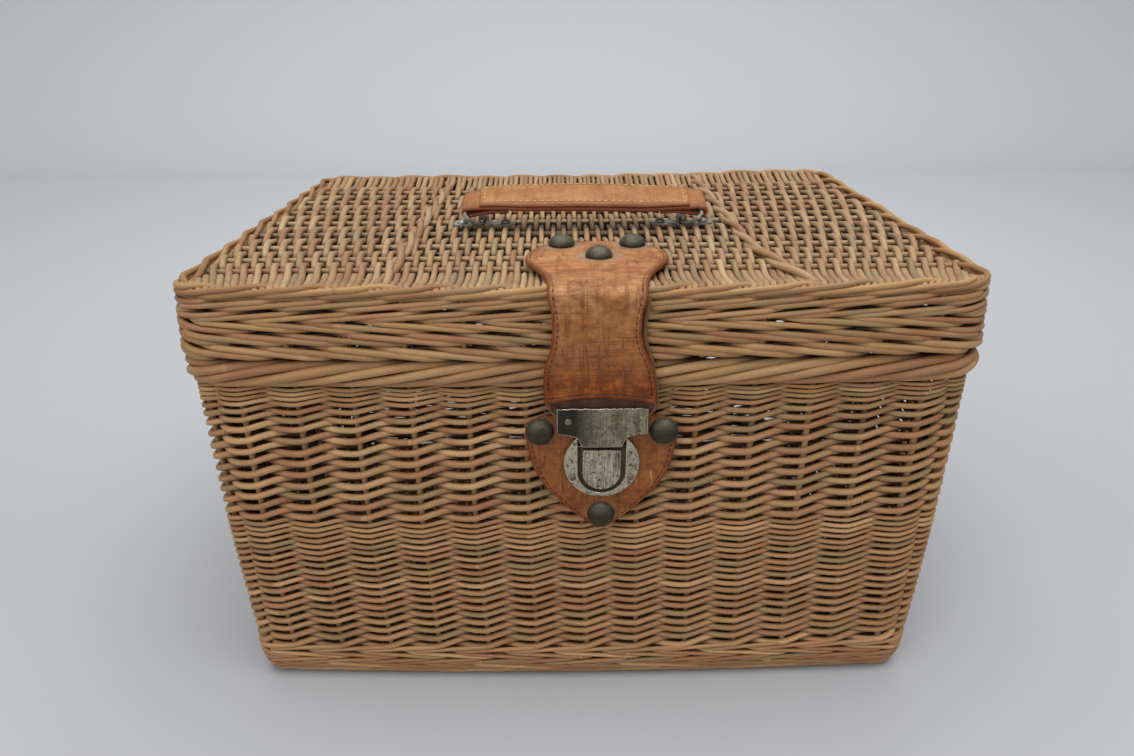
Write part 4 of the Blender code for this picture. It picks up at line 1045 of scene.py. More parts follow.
@dataclass
class LeatherStrip:
    """A strip of leather: a line it follows in its own plane, a half width along it and a thickness."""

    thickness: float
    edge_round: float = 1.1 * MM
    columns: int = 26
    bead: float = 0.28 * MM

    def section(self, half: float) -> list[tuple[float, float, float]]:
        """A closed section: places across, heights above the middle, and distances from the edge.

        Args:
            half: Half the strip's width here.

        Returns:
            Points counter-clockwise from the left end of the outer face.
        """
        lip = min(self.edge_round, self.thickness / 2, half * 0.9)
        up = self.thickness / 2
        made = []
        for side in (1, -1):
            for k in range(self.columns + 1):
                share = k / self.columns
                spread = -math.cos(math.pi * share) * 0.55 + (2 * share - 1) * 0.45
                x = spread * (half - lip)
                edge = half - abs(x)
                swell = self.bead * math.exp(-((edge - 1.3 * MM) / (0.7 * MM)) ** 2) if side > 0 else 0.0
                made.append((side * x, side * up + swell, edge))
            for k in range(1, 4):
                a = math.pi / 2 * (1 - k / 2)
                made.append((side * (half - lip + lip * math.cos(a)), side * up * math.sin(a), 0.0))
        return made

    def mesh(self, name: str, runs: Sequence[float], halves: Sequence[float], frames: Sequence[tuple],
             shape=None, worn_end: bool = False) -> Piece:
        """Joins the sections along the line.

        Args:
            name: The piece's name.
            runs: Distances along the line.
            halves: Half widths there.
            frames: A middle, a direction across and a direction outwards for each section.
            shape: Moves a point, from its place, its run and its place across.
            worn_end: Whether the far end is rubbed as the long edges are.

        Returns:
            The closed piece.
        """
        work = bmesh.new()
        layers = [work.verts.layers.float.new(n) for n in ("run", "across", "edge")]
        rings = []
        for run, half, (middle, side, out) in zip(runs, halves, frames):
            ring = []
            for x, height, edge in self.section(max(half, 0.4 * MM)):
                place = middle + side * x + out * height
                vert = work.verts.new(shape(place, run, x) if shape else place)
                end = min(edge, runs[-1] - run + 0.3 * MM) if worn_end else edge
                for layer, value in zip(layers, (run, x, end)):
                    vert[layer] = value
                ring.append(vert)
            rings.append(ring)
        for a, b in zip(rings, rings[1:]):
            for k in range(len(a)):
                m = (k + 1) % len(a)
                work.faces.new((a[k], a[m], b[m], b[k]))
        work.faces.new(rings[0][::-1])
        work.faces.new(rings[-1])
        bmesh.ops.recalc_face_normals(work, faces=work.faces)
        return finished(name, work)


def smooth_widths(runs: np.ndarray, knots: Sequence[tuple[float, float]], reach: float) -> np.ndarray:
    """Half widths along a strip, with rounded corners between the knots.

    Args:
        runs: Where they are wanted.
        knots: Pairs of a run and a half width.
        reach: How far a corner is rounded.

    Returns:
        The half widths.
    """
    places, widths = zip(*knots)
    total = np.zeros(len(runs))
    for k in range(-4, 5):
        total += np.interp(runs + k * reach / 4, places, widths)
    return total / 9


def hanging(y: float, top: float, runs: Sequence[float]) -> list[tuple[Vector, Vector, Vector]]:
    """Frames of a strip that hangs down from its top in front of the lock."""
    return [(Vector((LOCK_X, y, top - run)), ACROSS, OUT) for run in runs]


# --------------------------------------------------------------------------- strap and patch


@dataclass
class FrontStrap:
    """The strap: nailed to the lid, folded over its front edge and hanging with its lining.

    The axis is Y of the hanging part and Z of the part on the lid. Sway is a shift to the left by run,
    both in millimetres. Shares are of a run and of a half width.
    """

    back: float = -73.05 * MM
    fold_front: float = -155.15 * MM
    axis: tuple[float, ...] = mm(-156.95, 242.4)
    lip: float = 186 * MM
    arch: float = 4 * MM
    arch_run: float = 26 * MM
    thickness: float = 3 * MM
    shoulder: float = 37 * MM
    fold_half: float = 23 * MM
    waist: float = 20.75 * MM
    foot: float = 27 * MM
    bend: float = 4.6 * MM
    anchor_shares: tuple = ((0, 0.1), (0.012, 0.38), (0.05, 0.66), (0.12, 0.84), (0.2, 0.93), (0.3, 0.985),
                            (0.39, 1), (0.45, 0.975), (0.51, 0.915), (0.62, 0.79), (0.74, 0.7), (0.85, 0.65))
    swell_shares: tuple = ((0.2, 0.0), (0.36, 0.0), (0.5, 0.2), (0.6, 0.6), (0.68, 0.83), (0.85, 1.0), (1.0, 1.0))
    sway: tuple = ((0, -0.2), (30, -1.0), (60, -2.0), (84, -2.8), (104, -3.1), (118, -2.2), (140, -0.7))
    nails: tuple = (mm(-10, -79.55), mm(28, -79.55), mm(9, -103.55))
    nail_reach: float = 9 * MM
    blend_from: tuple[float, ...] = (LOCK_X, *mm(-150, 244))
    blend_to: tuple[float, ...] = (LOCK_X, *mm(-158.4, 234))
    lining_y: float = -154.5 * MM
    lining_top: float = 237.6 * MM
    lining_end: float = 170.6 * MM
    lining_widths: tuple = (mm(0, 22), mm(9, 20.6), mm(20, 20.6), mm(30, 24), mm(44, 26.6), mm(52.5, 27.2),
                            mm(56, 26.6), mm(60, 22.5), mm(67, 22.3))

    def line(self, run: float) -> tuple[Vector, Vector, Vector]:
        """The strap's middle, its direction across and its outward direction at a run from its back end."""
        front, level = self.axis
        flat = self.back - (front + self.bend)
        turn = self.bend * math.pi / 2
        if run <= flat:
            return Vector((LOCK_X, self.back - run, level)), ACROSS, UP
        if run <= flat + turn:
            a = (run - flat) / self.bend
            middle = Vector((LOCK_X, front + self.bend - self.bend * math.sin(a),
                             level - self.bend + self.bend * math.cos(a)))
            return middle, ACROSS, Vector((0, -math.sin(a), math.cos(a)))
        return Vector((LOCK_X, front, level - self.bend - (run - flat - turn))), ACROSS, OUT

    def moved(self, place: Vector, run: float, x: float) -> Vector:
        """A point of the strap with its arched lip, its dents at the nails and its slight waves."""
        place.x += float(np.interp(run, [k * MM for k, _ in self.sway], [k * MM for _, k in self.sway]))
        share = min(1.0, max(0.0, (run - (self.total() - self.arch_run)) / self.arch_run))
        u = x / self.foot
        place.z += self.arch * (1 - u * u) * share ** 2
        flat = self.back - self.axis[0]
        if run < flat - 8 * MM:
            lump = sum(math.exp(-((place.x - nx) ** 2 + (place.y - ny) ** 2) / self.nail_reach ** 2)
                       for nx, ny in self.nails)
            place.z += 0.5 * MM * wobble(place.x * 40, place.y * 40, 1.0) * (1 - min(1.0, lump)) - 0.3 * MM * lump
        elif run > flat + 8 * MM:
            place.y -= 0.45 * MM * max(0.0, wobble(place.x * 45, place.z * 45, 5.0))
        return place

    def total(self) -> float:
        """The strap's whole run."""
        front, level = self.axis
        return self.back - (front + self.bend) + self.bend * math.pi / 2 + level - self.bend - self.lip

    def leather(self) -> Piece:
        """Makes the strap's leather in one piece across its fold."""
        reach = self.back - self.fold_front
        fold = self.back - self.axis[0] - self.bend + self.bend * math.pi / 4
        total, swell = self.total(), self.foot - self.waist
        knots = [(share * reach, width * self.shoulder) for share, width in self.anchor_shares]
        knots += [(fold - 2 * MM, self.fold_half), (fold + 3 * MM, self.fold_half)]
        knots += [(fold + share * (total - fold), self.waist + rise * swell) for share, rise in self.swell_shares]
        runs = np.concatenate([np.linspace(0, 1, 14)[:-1] ** 2 * 12 * MM,
                               np.arange(12 * MM, total - 1.2 * MM, 1.3 * MM),
                               [total - 0.9 * MM, total - 0.35 * MM, total]])
        strip = LeatherStrip(self.thickness, columns=34)
        return strip.mesh("strap_folded_leather", runs, smooth_widths(runs, knots, 2.2 * MM),
                          [self.line(run) for run in runs], self.moved, True)

    def build(self, tan: Material, dark: Material) -> list[Piece]:
        """Makes the leather and the dark lining that shows under its lip and behind the hasp."""
        ob = dress(self.leather(), tan)
        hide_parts("strap_anchor", "strap_leather")
        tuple(self.blend_from)
        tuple(self.blend_to)
        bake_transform(ob)
        runs = np.linspace(0, self.lining_top - self.lining_end, 60)
        lining = LeatherStrip(1.3 * MM, 0.5 * MM, 18, 0.0).mesh(
            "strap_dark_lining", runs, smooth_widths(runs, self.lining_widths, 1.5 * MM),
            hanging(self.lining_y, self.lining_top, runs))
        return [ob, place_piece(dress(lining, dark), "strap", "dark_leather", "strap_lining")]


@dataclass
class LockPatch:
    """The leather under the lock, pointed below and cut out for the lock's case."""

    top: float = 177 * MM
    bottom: float = 112.7 * MM
    half: float = 38 * MM
    middle_y: float = -150.65 * MM
    shares: tuple = ((0, 0.62), (0.01, 0.84), (0.07, 0.98), (0.16, 1.0), (0.3, 0.965), (0.45, 0.91), (0.64, 0.74),
                     (0.83, 0.44), (0.92, 0.26), (0.97, 0.16), (1.0, 0.06))
    room: tuple[float, ...] = mm(13.2, 147.1, 165.9)

    def build(self, finish: Material) -> list[Piece]:
        """Makes the patch."""
        drop = self.top - self.bottom
        knots = [(share * drop, width * self.half) for share, width in self.shares]
        runs = np.concatenate([np.linspace(0, 1, 8)[:-1] ** 2 * 6 * MM, np.arange(6 * MM, drop - 5 * MM, 1.4 * MM),
                               drop - 5 * MM * np.linspace(1, 0, 9) ** 2])
        ob = LeatherStrip(3 * MM, columns=34).mesh("lock_patch_leather", runs, smooth_widths(runs, knots, 2 * MM),
                                                   hanging(self.middle_y, self.top, runs))
        room = PlateMaker(0.2 * MM, 1).cut("case room", tongue(*self.room), -160 * MM, 20 * MM)
        step = ob.modifiers.new("room", "BOOLEAN")
        step.object, step.operation, step.solver = room, "DIFFERENCE", "EXACT"
        settle(ob)
        bpy.data.objects.remove(room)
        return [place_piece(dress(ob, finish), "basket", "tan_leather", "lock_patch")]


# --------------------------------------------------------------------------- metal


@dataclass(frozen=True)
class MetalFinish:
    """Old plated metal: dull, with brushed lines, dark spots, rust, a painted shade over the left end and dust on
    top.
    """

    name: str
    base: str = "a9a698"
    spot: str = "3d3427"
    rust: str = "7a5232"
    shade: str = "2b2822"
    dirt: str = "8b8672"
    rust_share: float = 0.25
    roughness: float = 0.36
    metallic: float = 0.85
    brushed: float = 0.3
    spots: float = 0.5
    scale: float = 420.0
    murk: float = 0.6
    dark_left: float = 0.0
    dust: float = 0.0

    def material(self) -> Material:
        """The finish as a material on object coordinates."""
        nodes = Paint(self.name)
        place = nodes.here()
        cloud = nodes.noise(place, self.scale * 0.35, 5.0, 0.65)
        speck = nodes.noise(place, self.scale * 1.6, 4.0, 0.7)
        tone = nodes.stain(self.base, cloud, 0.38, 0.66, self.murk, self.spot)
        mask = nodes.ramp(speck, (0.56, 0.0), (0.61, self.spots))
        tone = nodes.mix(mask, tone, self.spot)
        rusty = nodes.ramp(nodes.noise(place, self.scale * 0.7, 4.0, 0.7), (0.58, 0.0), (0.72, 1.0))
        rusty = nodes.times(rusty, self.rust_share)
        tone = nodes.mix(rusty, tone, self.rust)
        split = nodes.add("ShaderNodeSeparateXYZ", {0: place}).outputs
        lines = nodes.streaks(4.0, 0.7, (split[0], 1900.0), (split[2], 55.0))
        scratch = nodes.ramp(lines, (0.5, 0.0), (0.62, self.brushed))
        tone = nodes.mix(scratch, tone, self.spot)
        rough = nodes.times_plus(cloud, 0.3, self.roughness - 0.1)
        # Painted shade: the left end is painted near black and made shinier.
        if self.dark_left:
            side = nodes.times_plus(cloud, 7 * MM, split[0])
            left = nodes.span(side, self.dark_left - 3 * MM, self.dark_left + 10 * MM, 0.95, 0.0)
            tone = nodes.mix(left, tone, self.shade)
            rough = nodes.times_plus(left, -0.16, rough)
        if self.dust:
            facing = nodes.add("ShaderNodeNewGeometry").outputs["Normal"]
            up = nodes.add("ShaderNodeSeparateXYZ", {0: facing}).outputs[2]
            soft = nodes.times(nodes.ramp(up, (0.1, 0.0), (0.9, self.dust)),
                               nodes.ramp(speck, (0.35, 0.3), (0.6, 1.0)))
            tone = nodes.mix(soft, tone, self.dirt)
            rough = nodes.times_plus(soft, 0.4, rough)
        height = nodes.math("SUBTRACT", nodes.times(speck, 0.4), nodes.math("ADD", mask, scratch))
        return nodes.finish(color=tone, roughness=rough, metallic=nodes.math("SUBTRACT", self.metallic, rusty),
                            normal=nodes.bump(height, 0.00012, 0.7))


@dataclass
class PlateMaker:
    """Cuts plates from outlines in X, from the lock's middle, and Z, and rounds their edges."""

    edge: float = 0.45 * MM
    segments: int = 3

    def cut(self, name: str, outline: Sequence[tuple[float, float]], front: float, thickness: float) -> Piece:
        """Cuts one plate.

        Args:
            name: The piece's name.
            outline: Its corners.
            front: Y of its front face.
            thickness: How thick it is.

        Returns:
            The plate, whose rounded edges have a second material.
        """
        work = bmesh.new()
        face = work.faces.new([work.verts.new((LOCK_X + x, front, z)) for x, z in outline])
        grown = bmesh.ops.extrude_face_region(work, geom=[face])
        for item in grown["geom"]:
            if isinstance(item, bmesh.types.BMVert):
                item.co.y += thickness
        bmesh.ops.recalc_face_normals(work, faces=work.faces)
        ob = finished(name, work)
        step = ob.modifiers.new("edge", "BEVEL")
        step.width, step.segments, step.limit_method = self.edge, self.segments, "ANGLE"
        step.angle_limit = math.radians(50)
        # The rounded edges get the lighter edge metal: worn metal and also a painted highlight.
        for _ in range(2):
            ob.data.materials.append(bpy.data.materials.get("bare metal edge"))
        step.material = 1
        settle(ob)
        ob.data.set_sharp_from_angle(angle=math.radians(38))
        return ob

    def plate(self, cut: tuple, finish: Material, body: str, *nodes: str) -> Piece:
        """Cuts a plate, gives it its finish, hides the model's parts that it stands for and hangs it on its body."""
        return place_piece(dress(self.cut(*cut), finish), body, "worn_nickel", *nodes)


def arc(z: float, radius: float, start: float, end: float, steps: int = 24) -> list[tuple[float, float]]:
    """Points in X and Z of an arc round a place above the middle, with angles in degrees."""
    angles = [math.radians(start + (end - start) * k / steps) for k in range(steps + 1)]
    return [(radius * math.cos(a), z + radius * math.sin(a)) for a in angles]


def tongue(radius: float, middle: float, top: float, steps: int = 24) -> list[tuple[float, float]]:
    """An outline that is round below and square at its top."""
    return arc(middle, radius, 180, 360, steps) + [(radius, top), (-radius, top)]


def box(half: float, low: float, high: float) -> list[tuple[float, float]]:
    """A rectangle's corners."""
    return [(-half, low), (half, low), (half, high), (-half, high)]


@dataclass
class PushLock:
    """Hasp, round plate with its open mouth, and the button that slides in it."""

    maker: PlateMaker = field(default_factory=PlateMaker)
    centre_z: float = 151.6 * MM
    radius: float = 18.9 * MM
    mouth: float = 12 * MM
    mouth_low: float = 135.1 * MM
    case: float = 12.9 * MM
    case_rise: float = 14 * MM
    button: float = 9.5 * MM
    hasp_top: float = 183.5 * MM
    hasp_low: float = 169.5 * MM
    hasp_half: float = 22.2 * MM
    tip: float = 162.1 * MM
    coil: tuple[float, ...] = mm(2, 0.35)
    coil_y: float = -147.95 * MM
    coil_z: tuple[float, ...] = mm(135.2, 135.6, 143.9)

    def hasp(self, finish: Material) -> list[Piece]:
        """Makes the hasp with its worn upper edge and its nib."""
        low, top, tip = self.hasp_low, self.hasp_top, self.tip
        rng = random.Random(SEED + 3)
        worn = [(x * MM, top - rng.uniform(0.0, 0.5) * MM) for x in np.arange(20.5, -21, -1.7)]
        worn = [(self.hasp_half, top - 0.4 * MM), *worn, (-self.hasp_half, top - 0.2 * MM)]
        half = [(self.hasp_half, low), (16.6 * MM, low - 0.8 * MM), (12.4 * MM, low - 2.2 * MM),
                (11.2 * MM, low - 4.2 * MM), (10.4 * MM, tip + 1.2 * MM), (9.2 * MM, tip)]
        outline = half[::-1] + worn + [(-x, z) for x, z in half]
        nib = box(7 * MM, tip + 0.3 * MM, tip + 1.9 * MM)
        return [self.maker.plate(("hasp_worn", outline, -156.95 * MM, 1.5 * MM), finish, "strap", "hasp_plate"),
                self.maker.plate(("hasp_nib", nib, -156.2 * MM, 3.9 * MM), finish, "strap")]

    def band(self, inner: float, outer: float, rise: float) -> list[tuple[float, float]]:
        """A U shaped outline round the mouth, up to a height above the plate's middle."""
        middle, top = self.mouth_low + self.mouth, self.centre_z + rise
        made = [(inner, top)] + arc(middle, inner, 0, -180) + [(-inner, top), (-outer, top)]
        return made + arc(middle, outer, -180, 0) + [(outer, top)]

    def plates(self, nickel: Material, rusty: Material) -> list[Piece]:
        """Makes the round plate, the rim of its mouth, and the tray behind: a wall, a back and a floor."""
        start = math.degrees(math.acos(self.mouth / self.radius))
        middle = self.mouth_low + self.mouth
        disc = arc(self.centre_z, self.radius, 180 - start, 360 + start, 60) + arc(middle, self.mouth, 0, -180)
        rim = self.band(self.mouth, self.mouth + 1.5 * MM, 9.5 * MM)
        wall = self.band(12.1 * MM, self.case, self.case_rise)
        back = tongue(self.case, middle, self.centre_z + self.case_rise)
        floor = self.band(6.6 * MM, 12.3 * MM, 9 * MM)
        rows = ((("lock_round_plate", disc, *mm(-154.65, 2.2)), nickel, "lock_plate"),
                (("lock_mouth_rim", rim, *mm(-155.1, 0.8)), nickel),
                (("lock_case_wall", wall, *mm(-152.0, 8.5)), rusty, "lock_case"),
                (("lock_case_back", back, *mm(-144.3, 0.85)), rusty),
                (("lock_mouth_floor", floor, *mm(-152.4, 0.5)), rusty))
        return [self.maker.plate(cut, finish, "basket", *nodes) for cut, finish, *nodes in rows]

    def push_button(self, finish: Material) -> list[Piece]:
        """Makes the shield shaped button, its stem and a bright ledge at its top."""
        low, top = self.centre_z - 14.5 * MM, self.centre_z + 8 * MM
        shield = tongue(self.button, low + self.button, top, 28)
        ledge = box(self.button - 0.3 * MM, top - 1.5 * MM, top + 0.1 * MM)
        rows = ((("lock_push_button", shield, *mm(-155.15, 2.6)), "lock_button"),
                (("lock_button_stem", box(4.5 * MM, self.centre_z - 7 * MM, self.centre_z), *mm(-153, 8)),),
                (("lock_button_ledge", ledge, *mm(-155.6, 0.9)),))
        return [self.maker.plate(cut, finish, "button", *nodes) for cut, *nodes in rows]

    def spring(self, tubes: StrandTubes, finish: Material) -> Piece:
        """Makes the coil under the button's stem. The real coil shortens as the button is pressed; this one keeps one
        length.
        """
        (radius, wire), (seat, low, high) = self.coil, self.coil_z
        turn = np.linspace(0, 10 * math.pi, 81)
        points = stacked(LOCK_X + radius * np.cos(turn), self.coil_y + radius * np.sin(turn),
                         np.linspace(low, high, 81))
        ob = tubes.make("lock_coil_spring", [Strand(points, wire, 0.0, False)], 8, finish)
        place_piece(ob, "basket", "dull_steel", "lock_spring")
        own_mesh(ob)
        return ob


class Fasteners(BakedTree):
    """Sets nails and rivets on seats: a turned head on each, facing outwards."""

    def __init__(self) -> None:
        """Builds the tree."""
        super().__init__("fasteners", Head="Object", Finish="Material")
        given, step = self.given, self.step
        aim = step("InputNamedAttribute", {"Name": "aim"}, data_type="FLOAT_VECTOR")
        turn = self.nodes.add("FunctionNodeAlignRotationToVector", {"Vector": aim}, axis="Z").outputs[0]
        head = self.nodes.add("GeometryNodeObjectInfo", {"Object": given["Head"], "As Instance": True})
        self.close(step("InstanceOnPoints", {"Points": given["Geometry"], "Instance": head.outputs["Geometry"],
                                             "Rotation": turn}), smooth=False)

    def turned(self, profile: Sequence[tuple[float, float]], steps: int) -> Piece:
        """A head turned from its profile of radius and height."""
        work = bmesh.new()
        rings = []
        for radius, height in profile:
            angles = np.linspace(0, 2 * math.pi, steps, endpoint=False) if radius >= 1e-6 else [0.0]
            rings.append([work.verts.new((radius * math.cos(a), radius * math.sin(a), height)) for a in angles])
        for a, b in zip(rings, rings[1:]):
            for k in range(steps):
                m = (k + 1) % steps
                corners = [a[k % len(a)], a[m % len(a)], b[m % len(b)], b[k % len(b)]]
                work.faces.new(list(dict.fromkeys(corners)))
        bmesh.ops.recalc_face_normals(work, faces=work.faces)
        return finished("head", work)

    def make(self, name: str, seats: Sequence[Sequence[float]], way: Vector, profile: Sequence[tuple[float, float]],
             steps: int, finish: Material) -> Piece:
        """Sets one kind of fastener on its seats.

        Args:
            name: The piece's name.
            seats: The places.
            way: The direction outwards.
            profile: The head's radius and height, from its top down to the shank's end.
            steps: How many faces go round it.
            finish: The metal.

        Returns:
            The fasteners as one plain mesh.
        """
        mesh = bpy.data.meshes.new(name + " seats")
        mesh.from_pydata([tuple(Vector(seat)) for seat in seats], [], [])
        aim = mesh.attributes.new("aim", "FLOAT_VECTOR", "POINT")
        aim.data.foreach_set("vector", np.array([tuple(way)] * len(seats), np.float32).ravel())
        head = self.turned(profile, steps)
        ob = self.bake(name, mesh, Head=head, Finish=finish)
        bpy.data.objects.remove(head)
        for polygon in ob.data.polygons:
            polygon.use_smooth = True
        ob.data.set_sharp_from_angle(angle=math.radians(50))
        return ob


def dome(radius: float, height: float, shank: float, length: float, steps: int) -> list[tuple[float, float]]:
    """A dome's profile, from sizes in millimetres: its top, its rim and the end of its shank."""
    radius, height, shank, length = mm(radius, height, shank, length)
    made = [(radius * math.sin(a), height * math.cos(a)) for a in np.linspace(0, math.pi / 2, steps)]
    return made + [(radius * 0.97, -0.12 * MM), (shank, -0.12 * MM), (shank, -length), (0.0, -length)]


def nails_and_rivets(maker: Fasteners, bronze: Material, nickel: Material, steel: Material) -> list[Piece]:
    """Makes all dome nails and rivets of the leather, the lock and the handle.

    Args:
        maker: Sets them on their places.
        bronze: The nails' metal.
        nickel: The metal of the rivets in the hasp and the lock.
        steel: The metal of the rivets in the handle's saddles.

    Returns:
        One piece for each body and metal.
    """
    rows = (
        ("strap_dome_nails", "lid", "dark_bronze", bronze, 40, dome(7, 5.5, 1.3, 13, 14), UP, LOCK_X,
         ((-19, -79.55, 244.2), (0, -103.55, 244.2), (19, -79.55, 244.2)),
         "strap_nail_left", "strap_nail_middle", "strap_nail_right"),
        ("patch_dome_nails", "basket", "dark_bronze", bronze, 40, dome(7, 5.5, 1.3, 16, 14), OUT, LOCK_X,
         ((-30.5, -152.45, 169), (30.5, -152.45, 169), (0, -152.45, 121.3)),
         "patch_nail_left", "patch_nail_right", "patch_nail_low"),
        ("hasp_rivets", "strap", "worn_nickel", nickel, 20, dome(1.8, 0.7, 1, 3.2, 6), OUT, LOCK_X,
         ((-16.5, -157.25, 176.5), (16.5, -157.25, 176.5)), "hasp_rivet_left", "hasp_rivet_right"),
        ("lock_rivets", "basket", "worn_nickel", nickel, 20, dome(1.8, 0.7, 1, 16, 6), OUT, LOCK_X,
         ((-14.5, -154.95, 144), (14.5, -154.95, 144)), "lock_rivet_left", "lock_rivet_right"),
        ("saddle_dome_rivets", "lid", "dull_steel", steel, 24, dome(3, 2.2, 1.1, 11, 8), UP, 0.0,
         [(x, -17.05, 242.2) for x in (-70, -44, 50, 76)], *(f"saddle_rivet_{k}" for k in range(1, 5))))
    made = []
    for name, body, slot, finish, steps, profile, way, middle, places, *nodes in rows:
        seats = [(middle + x * MM, y * MM, z * MM) for x, y, z in places]
        made.append(place_piece(maker.make(name, seats, way, profile, steps, finish), body, slot, *nodes))
    return made


# --------------------------------------------------------------------------- handle


class StitchRows(BakedTree):
    """Lays thread stitches along lines."""

    def __init__(self) -> None:
        """Builds the tree."""
        super().__init__("stitches", Pitch="Float", Length="Float", Thread="Float", Finish="Material")
        given, step, add = self.given, self.step, self.nodes.add
        line = step("ResampleCurve", {"Curve": step("MeshToCurve", {"Mesh": given["Geometry"]}),
                                      "Length": given["Pitch"]}, mode="LENGTH")
        turn = add("FunctionNodeAlignRotationToVector", {"Vector": step("InputTangent")}, axis="Z").outputs[0]
        jitter = add("FunctionNodeRandomValue", {"Min": (-0.14, -0.1, 0.0), "Max": (0.14, 0.1, 0.0), "Seed": SEED},
                     data_type="FLOAT_VECTOR").outputs[0]
        turn = add("FunctionNodeRotateRotation", {0: turn, 1: jitter}).outputs[0]
        ball = step("MeshUVSphere", {"Segments": 8, "Rings": 6, "Radius": 0.5})
        size = self.nodes.vector(given["Thread"], given["Thread"], given["Length"])
        self.close(step("InstanceOnPoints", {"Points": line, "Instance": ball, "Rotation": turn, "Scale": size}))


@dataclass(frozen=True)
class ThreadFinish:
    """Waxed linen thread, yellowed."""

    name: str
    colour: str = "d0b070"
    dirt: str = "8a6a3c"

    def material(self) -> Material:
        """The finish as a material."""
        nodes = Paint(self.name)
        place = nodes.here()
        tone = nodes.stain(self.colour, nodes.noise(place, 700.0, 3.0, 0.6), 0.4, 0.65, 0.7, self.dirt)
        return nodes.finish(color=tone, roughness=0.7, normal=nodes.bump(nodes.noise(place, 4200.0), 0.0002))


@dataclass
class CarryHandle:
    """The handle: a base leather folded round both rings, and a shorter leather sewn on it."""

    stitches: StitchRows
    pivot: tuple[float, ...] = mm(3.8, -17.05, 250.9)
    tip: float = math.radians(18)
    bar: float = 69.4 * MM
    drop: float = 3 * MM
    eye: float = 2.55 * MM
    arch: float = 3 * MM
    width: float = 23.4 * MM
    leather: float = 2 * MM
    lap: float = 45 * MM
    top_length: float = 124 * MM
    top_thickness: float = 1.6 * MM
    slant: float = 1.6 * MM
    calm: float = 66 * MM
    seam_inset: tuple[float, ...] = mm(3, 3.2)
    stitch: tuple[float, ...] = mm(4.1, 3.0, 0.95)

    def placed(self, x: float, y: float, z: float) -> Vector:
        """A point of the handle in the row frame, tipped to the front and a little higher at its left end."""
        ease = max(0.0, min(1.0, (self.calm - abs(x)) / (20 * MM)))
        z += self.slant * (-x / self.bar) * 0.5 * ease
        return Matrix.Rotation(self.tip, 4, "X") @ Vector((x, y, z)) + Vector(self.pivot)

    def curl(self, x: float, y: float) -> float:
        """How far the leather drops towards its long edges, more at the front one and between the rings."""
        share = y / (self.width / 2)
        ends = min(1.0, max(0.0, (self.calm - abs(x)) / (40 * MM)))
        return share ** 2 * 0.7 * MM + max(0.0, -share) ** 2 * 2.8 * MM * ends * ends * (3 - 2 * ends)

    def rise(self, x: float) -> float:
        """How much the grip rises in its middle."""
        return self.arch * (1 - (x / self.bar) ** 2)

    def lean(self, x: float) -> float:
        """The grip's slope as an angle."""
        return math.atan(-2 * self.arch * x / self.bar ** 2)

    def base_line(self) -> list[tuple[float, float, float]]:
        """The base leather's X, Z and lean: from under the left end, round its ring, over and round the right."""
        top, under = self.drop + self.eye, self.drop - self.eye

        def lap(start: float, end: float, lean: float) -> list[tuple[float, float, float]]:
            """An end that lies under the grip and rises to it."""
            made = []
            for x in np.linspace(start, end, 10):
                share = (self.bar - abs(x)) / (self.bar - self.lap)
                high = top + self.rise(x) - self.leather * 1.08
                made.append((x, under + (high - under) * min(1, share * 1.6) ** 0.7, lean))
            return made

        def ring(middle: float, start: float) -> list[tuple[float, float, float]]:
            """The bend round a ring."""
            angles = [math.radians(a) for a in np.linspace(start, start + 130, 12)]
            return [(middle + self.eye * math.sin(a), self.drop + self.eye * math.cos(a), a) for a in angles]

        near = self.bar - 4 * MM
        over = [(x, top + self.rise(x), 2 * math.pi - self.lean(x))
                for x in np.linspace(-self.bar + 2 * MM, self.bar - 2 * MM, 70)]
        return [*lap(-self.lap, -near, math.pi), *ring(-self.bar, 200), *over, *ring(self.bar, 390),
                *lap(near, self.lap, 3 * math.pi)]

    def strip(self, name: str, line: Sequence[tuple[float, float, float]], half: float, thickness: float,
              pinch: float) -> Piece:
        """A leather strip along a line of X, Z and the outward angle from +Z to +X in the handle's own frame."""
        spots = np.array([(x, z) for x, z, _ in line])
        runs = np.concatenate([[0.0], np.cumsum(np.linalg.norm(np.diff(spots, axis=0), axis=1))])
        halves = [half - pinch * min(1.0, max(0.0, (abs(x) - 58 * MM) / (10 * MM))) ** 2 for x, _, _ in line]
        turn = Matrix.Rotation(self.tip, 3, "X")
        frames = [(self.placed(x, 0, z), turn @ Vector((0, 1, 0)), turn @ Vector((math.sin(lean), 0, math.cos(lean))))
                  for x, z, lean in line]

        def uneven(place: Vector, run: float, x: float) -> Vector:
            """A point with the leather's slight curl across the grip."""
            wave = 0.25 * MM * wobble(run * 40, x * 90, half * 900)
            return place - Vector((0, 0, self.curl(place.x - self.pivot[0], x) + wave))

        return LeatherStrip(thickness, 0.8 * MM, 20, 0.12 * MM).mesh(name, runs, halves, frames, uneven)

    def build(self, base: Material, top: Material, thread: Material) -> list[Piece]:
        """Makes both leathers and the stitches."""
        lower = self.strip("grip_folded_leather", self.base_line(), self.width / 2, self.leather, 0.6 * MM)
        place_piece(dress(lower, base), "handle", "tan_leather", "grip_base")
        seat, half = self.drop + self.eye + self.leather / 2 + 0.9 * MM, self.top_length / 2
        line = [(x, seat + self.rise(x), -self.lean(x)) for x in np.linspace(-half, half, 80)]
        upper = self.strip("grip_sewn_leather", line, self.width / 2 - 0.5 * MM, self.top_thickness, 0.5 * MM)
        place_piece(dress(upper, top), "handle", "tan_leather", "grip_top")
        end, inset = half - self.seam_inset[0], self.width / 2 - self.seam_inset[1]
        height = seat + 0.95 * MM

        def seam(x: float, y: float) -> Vector:
            """A point of the seam on the curled leather."""
            return self.placed(x, y, height + self.rise(x)) - Vector((0, 0, self.curl(x, y)))

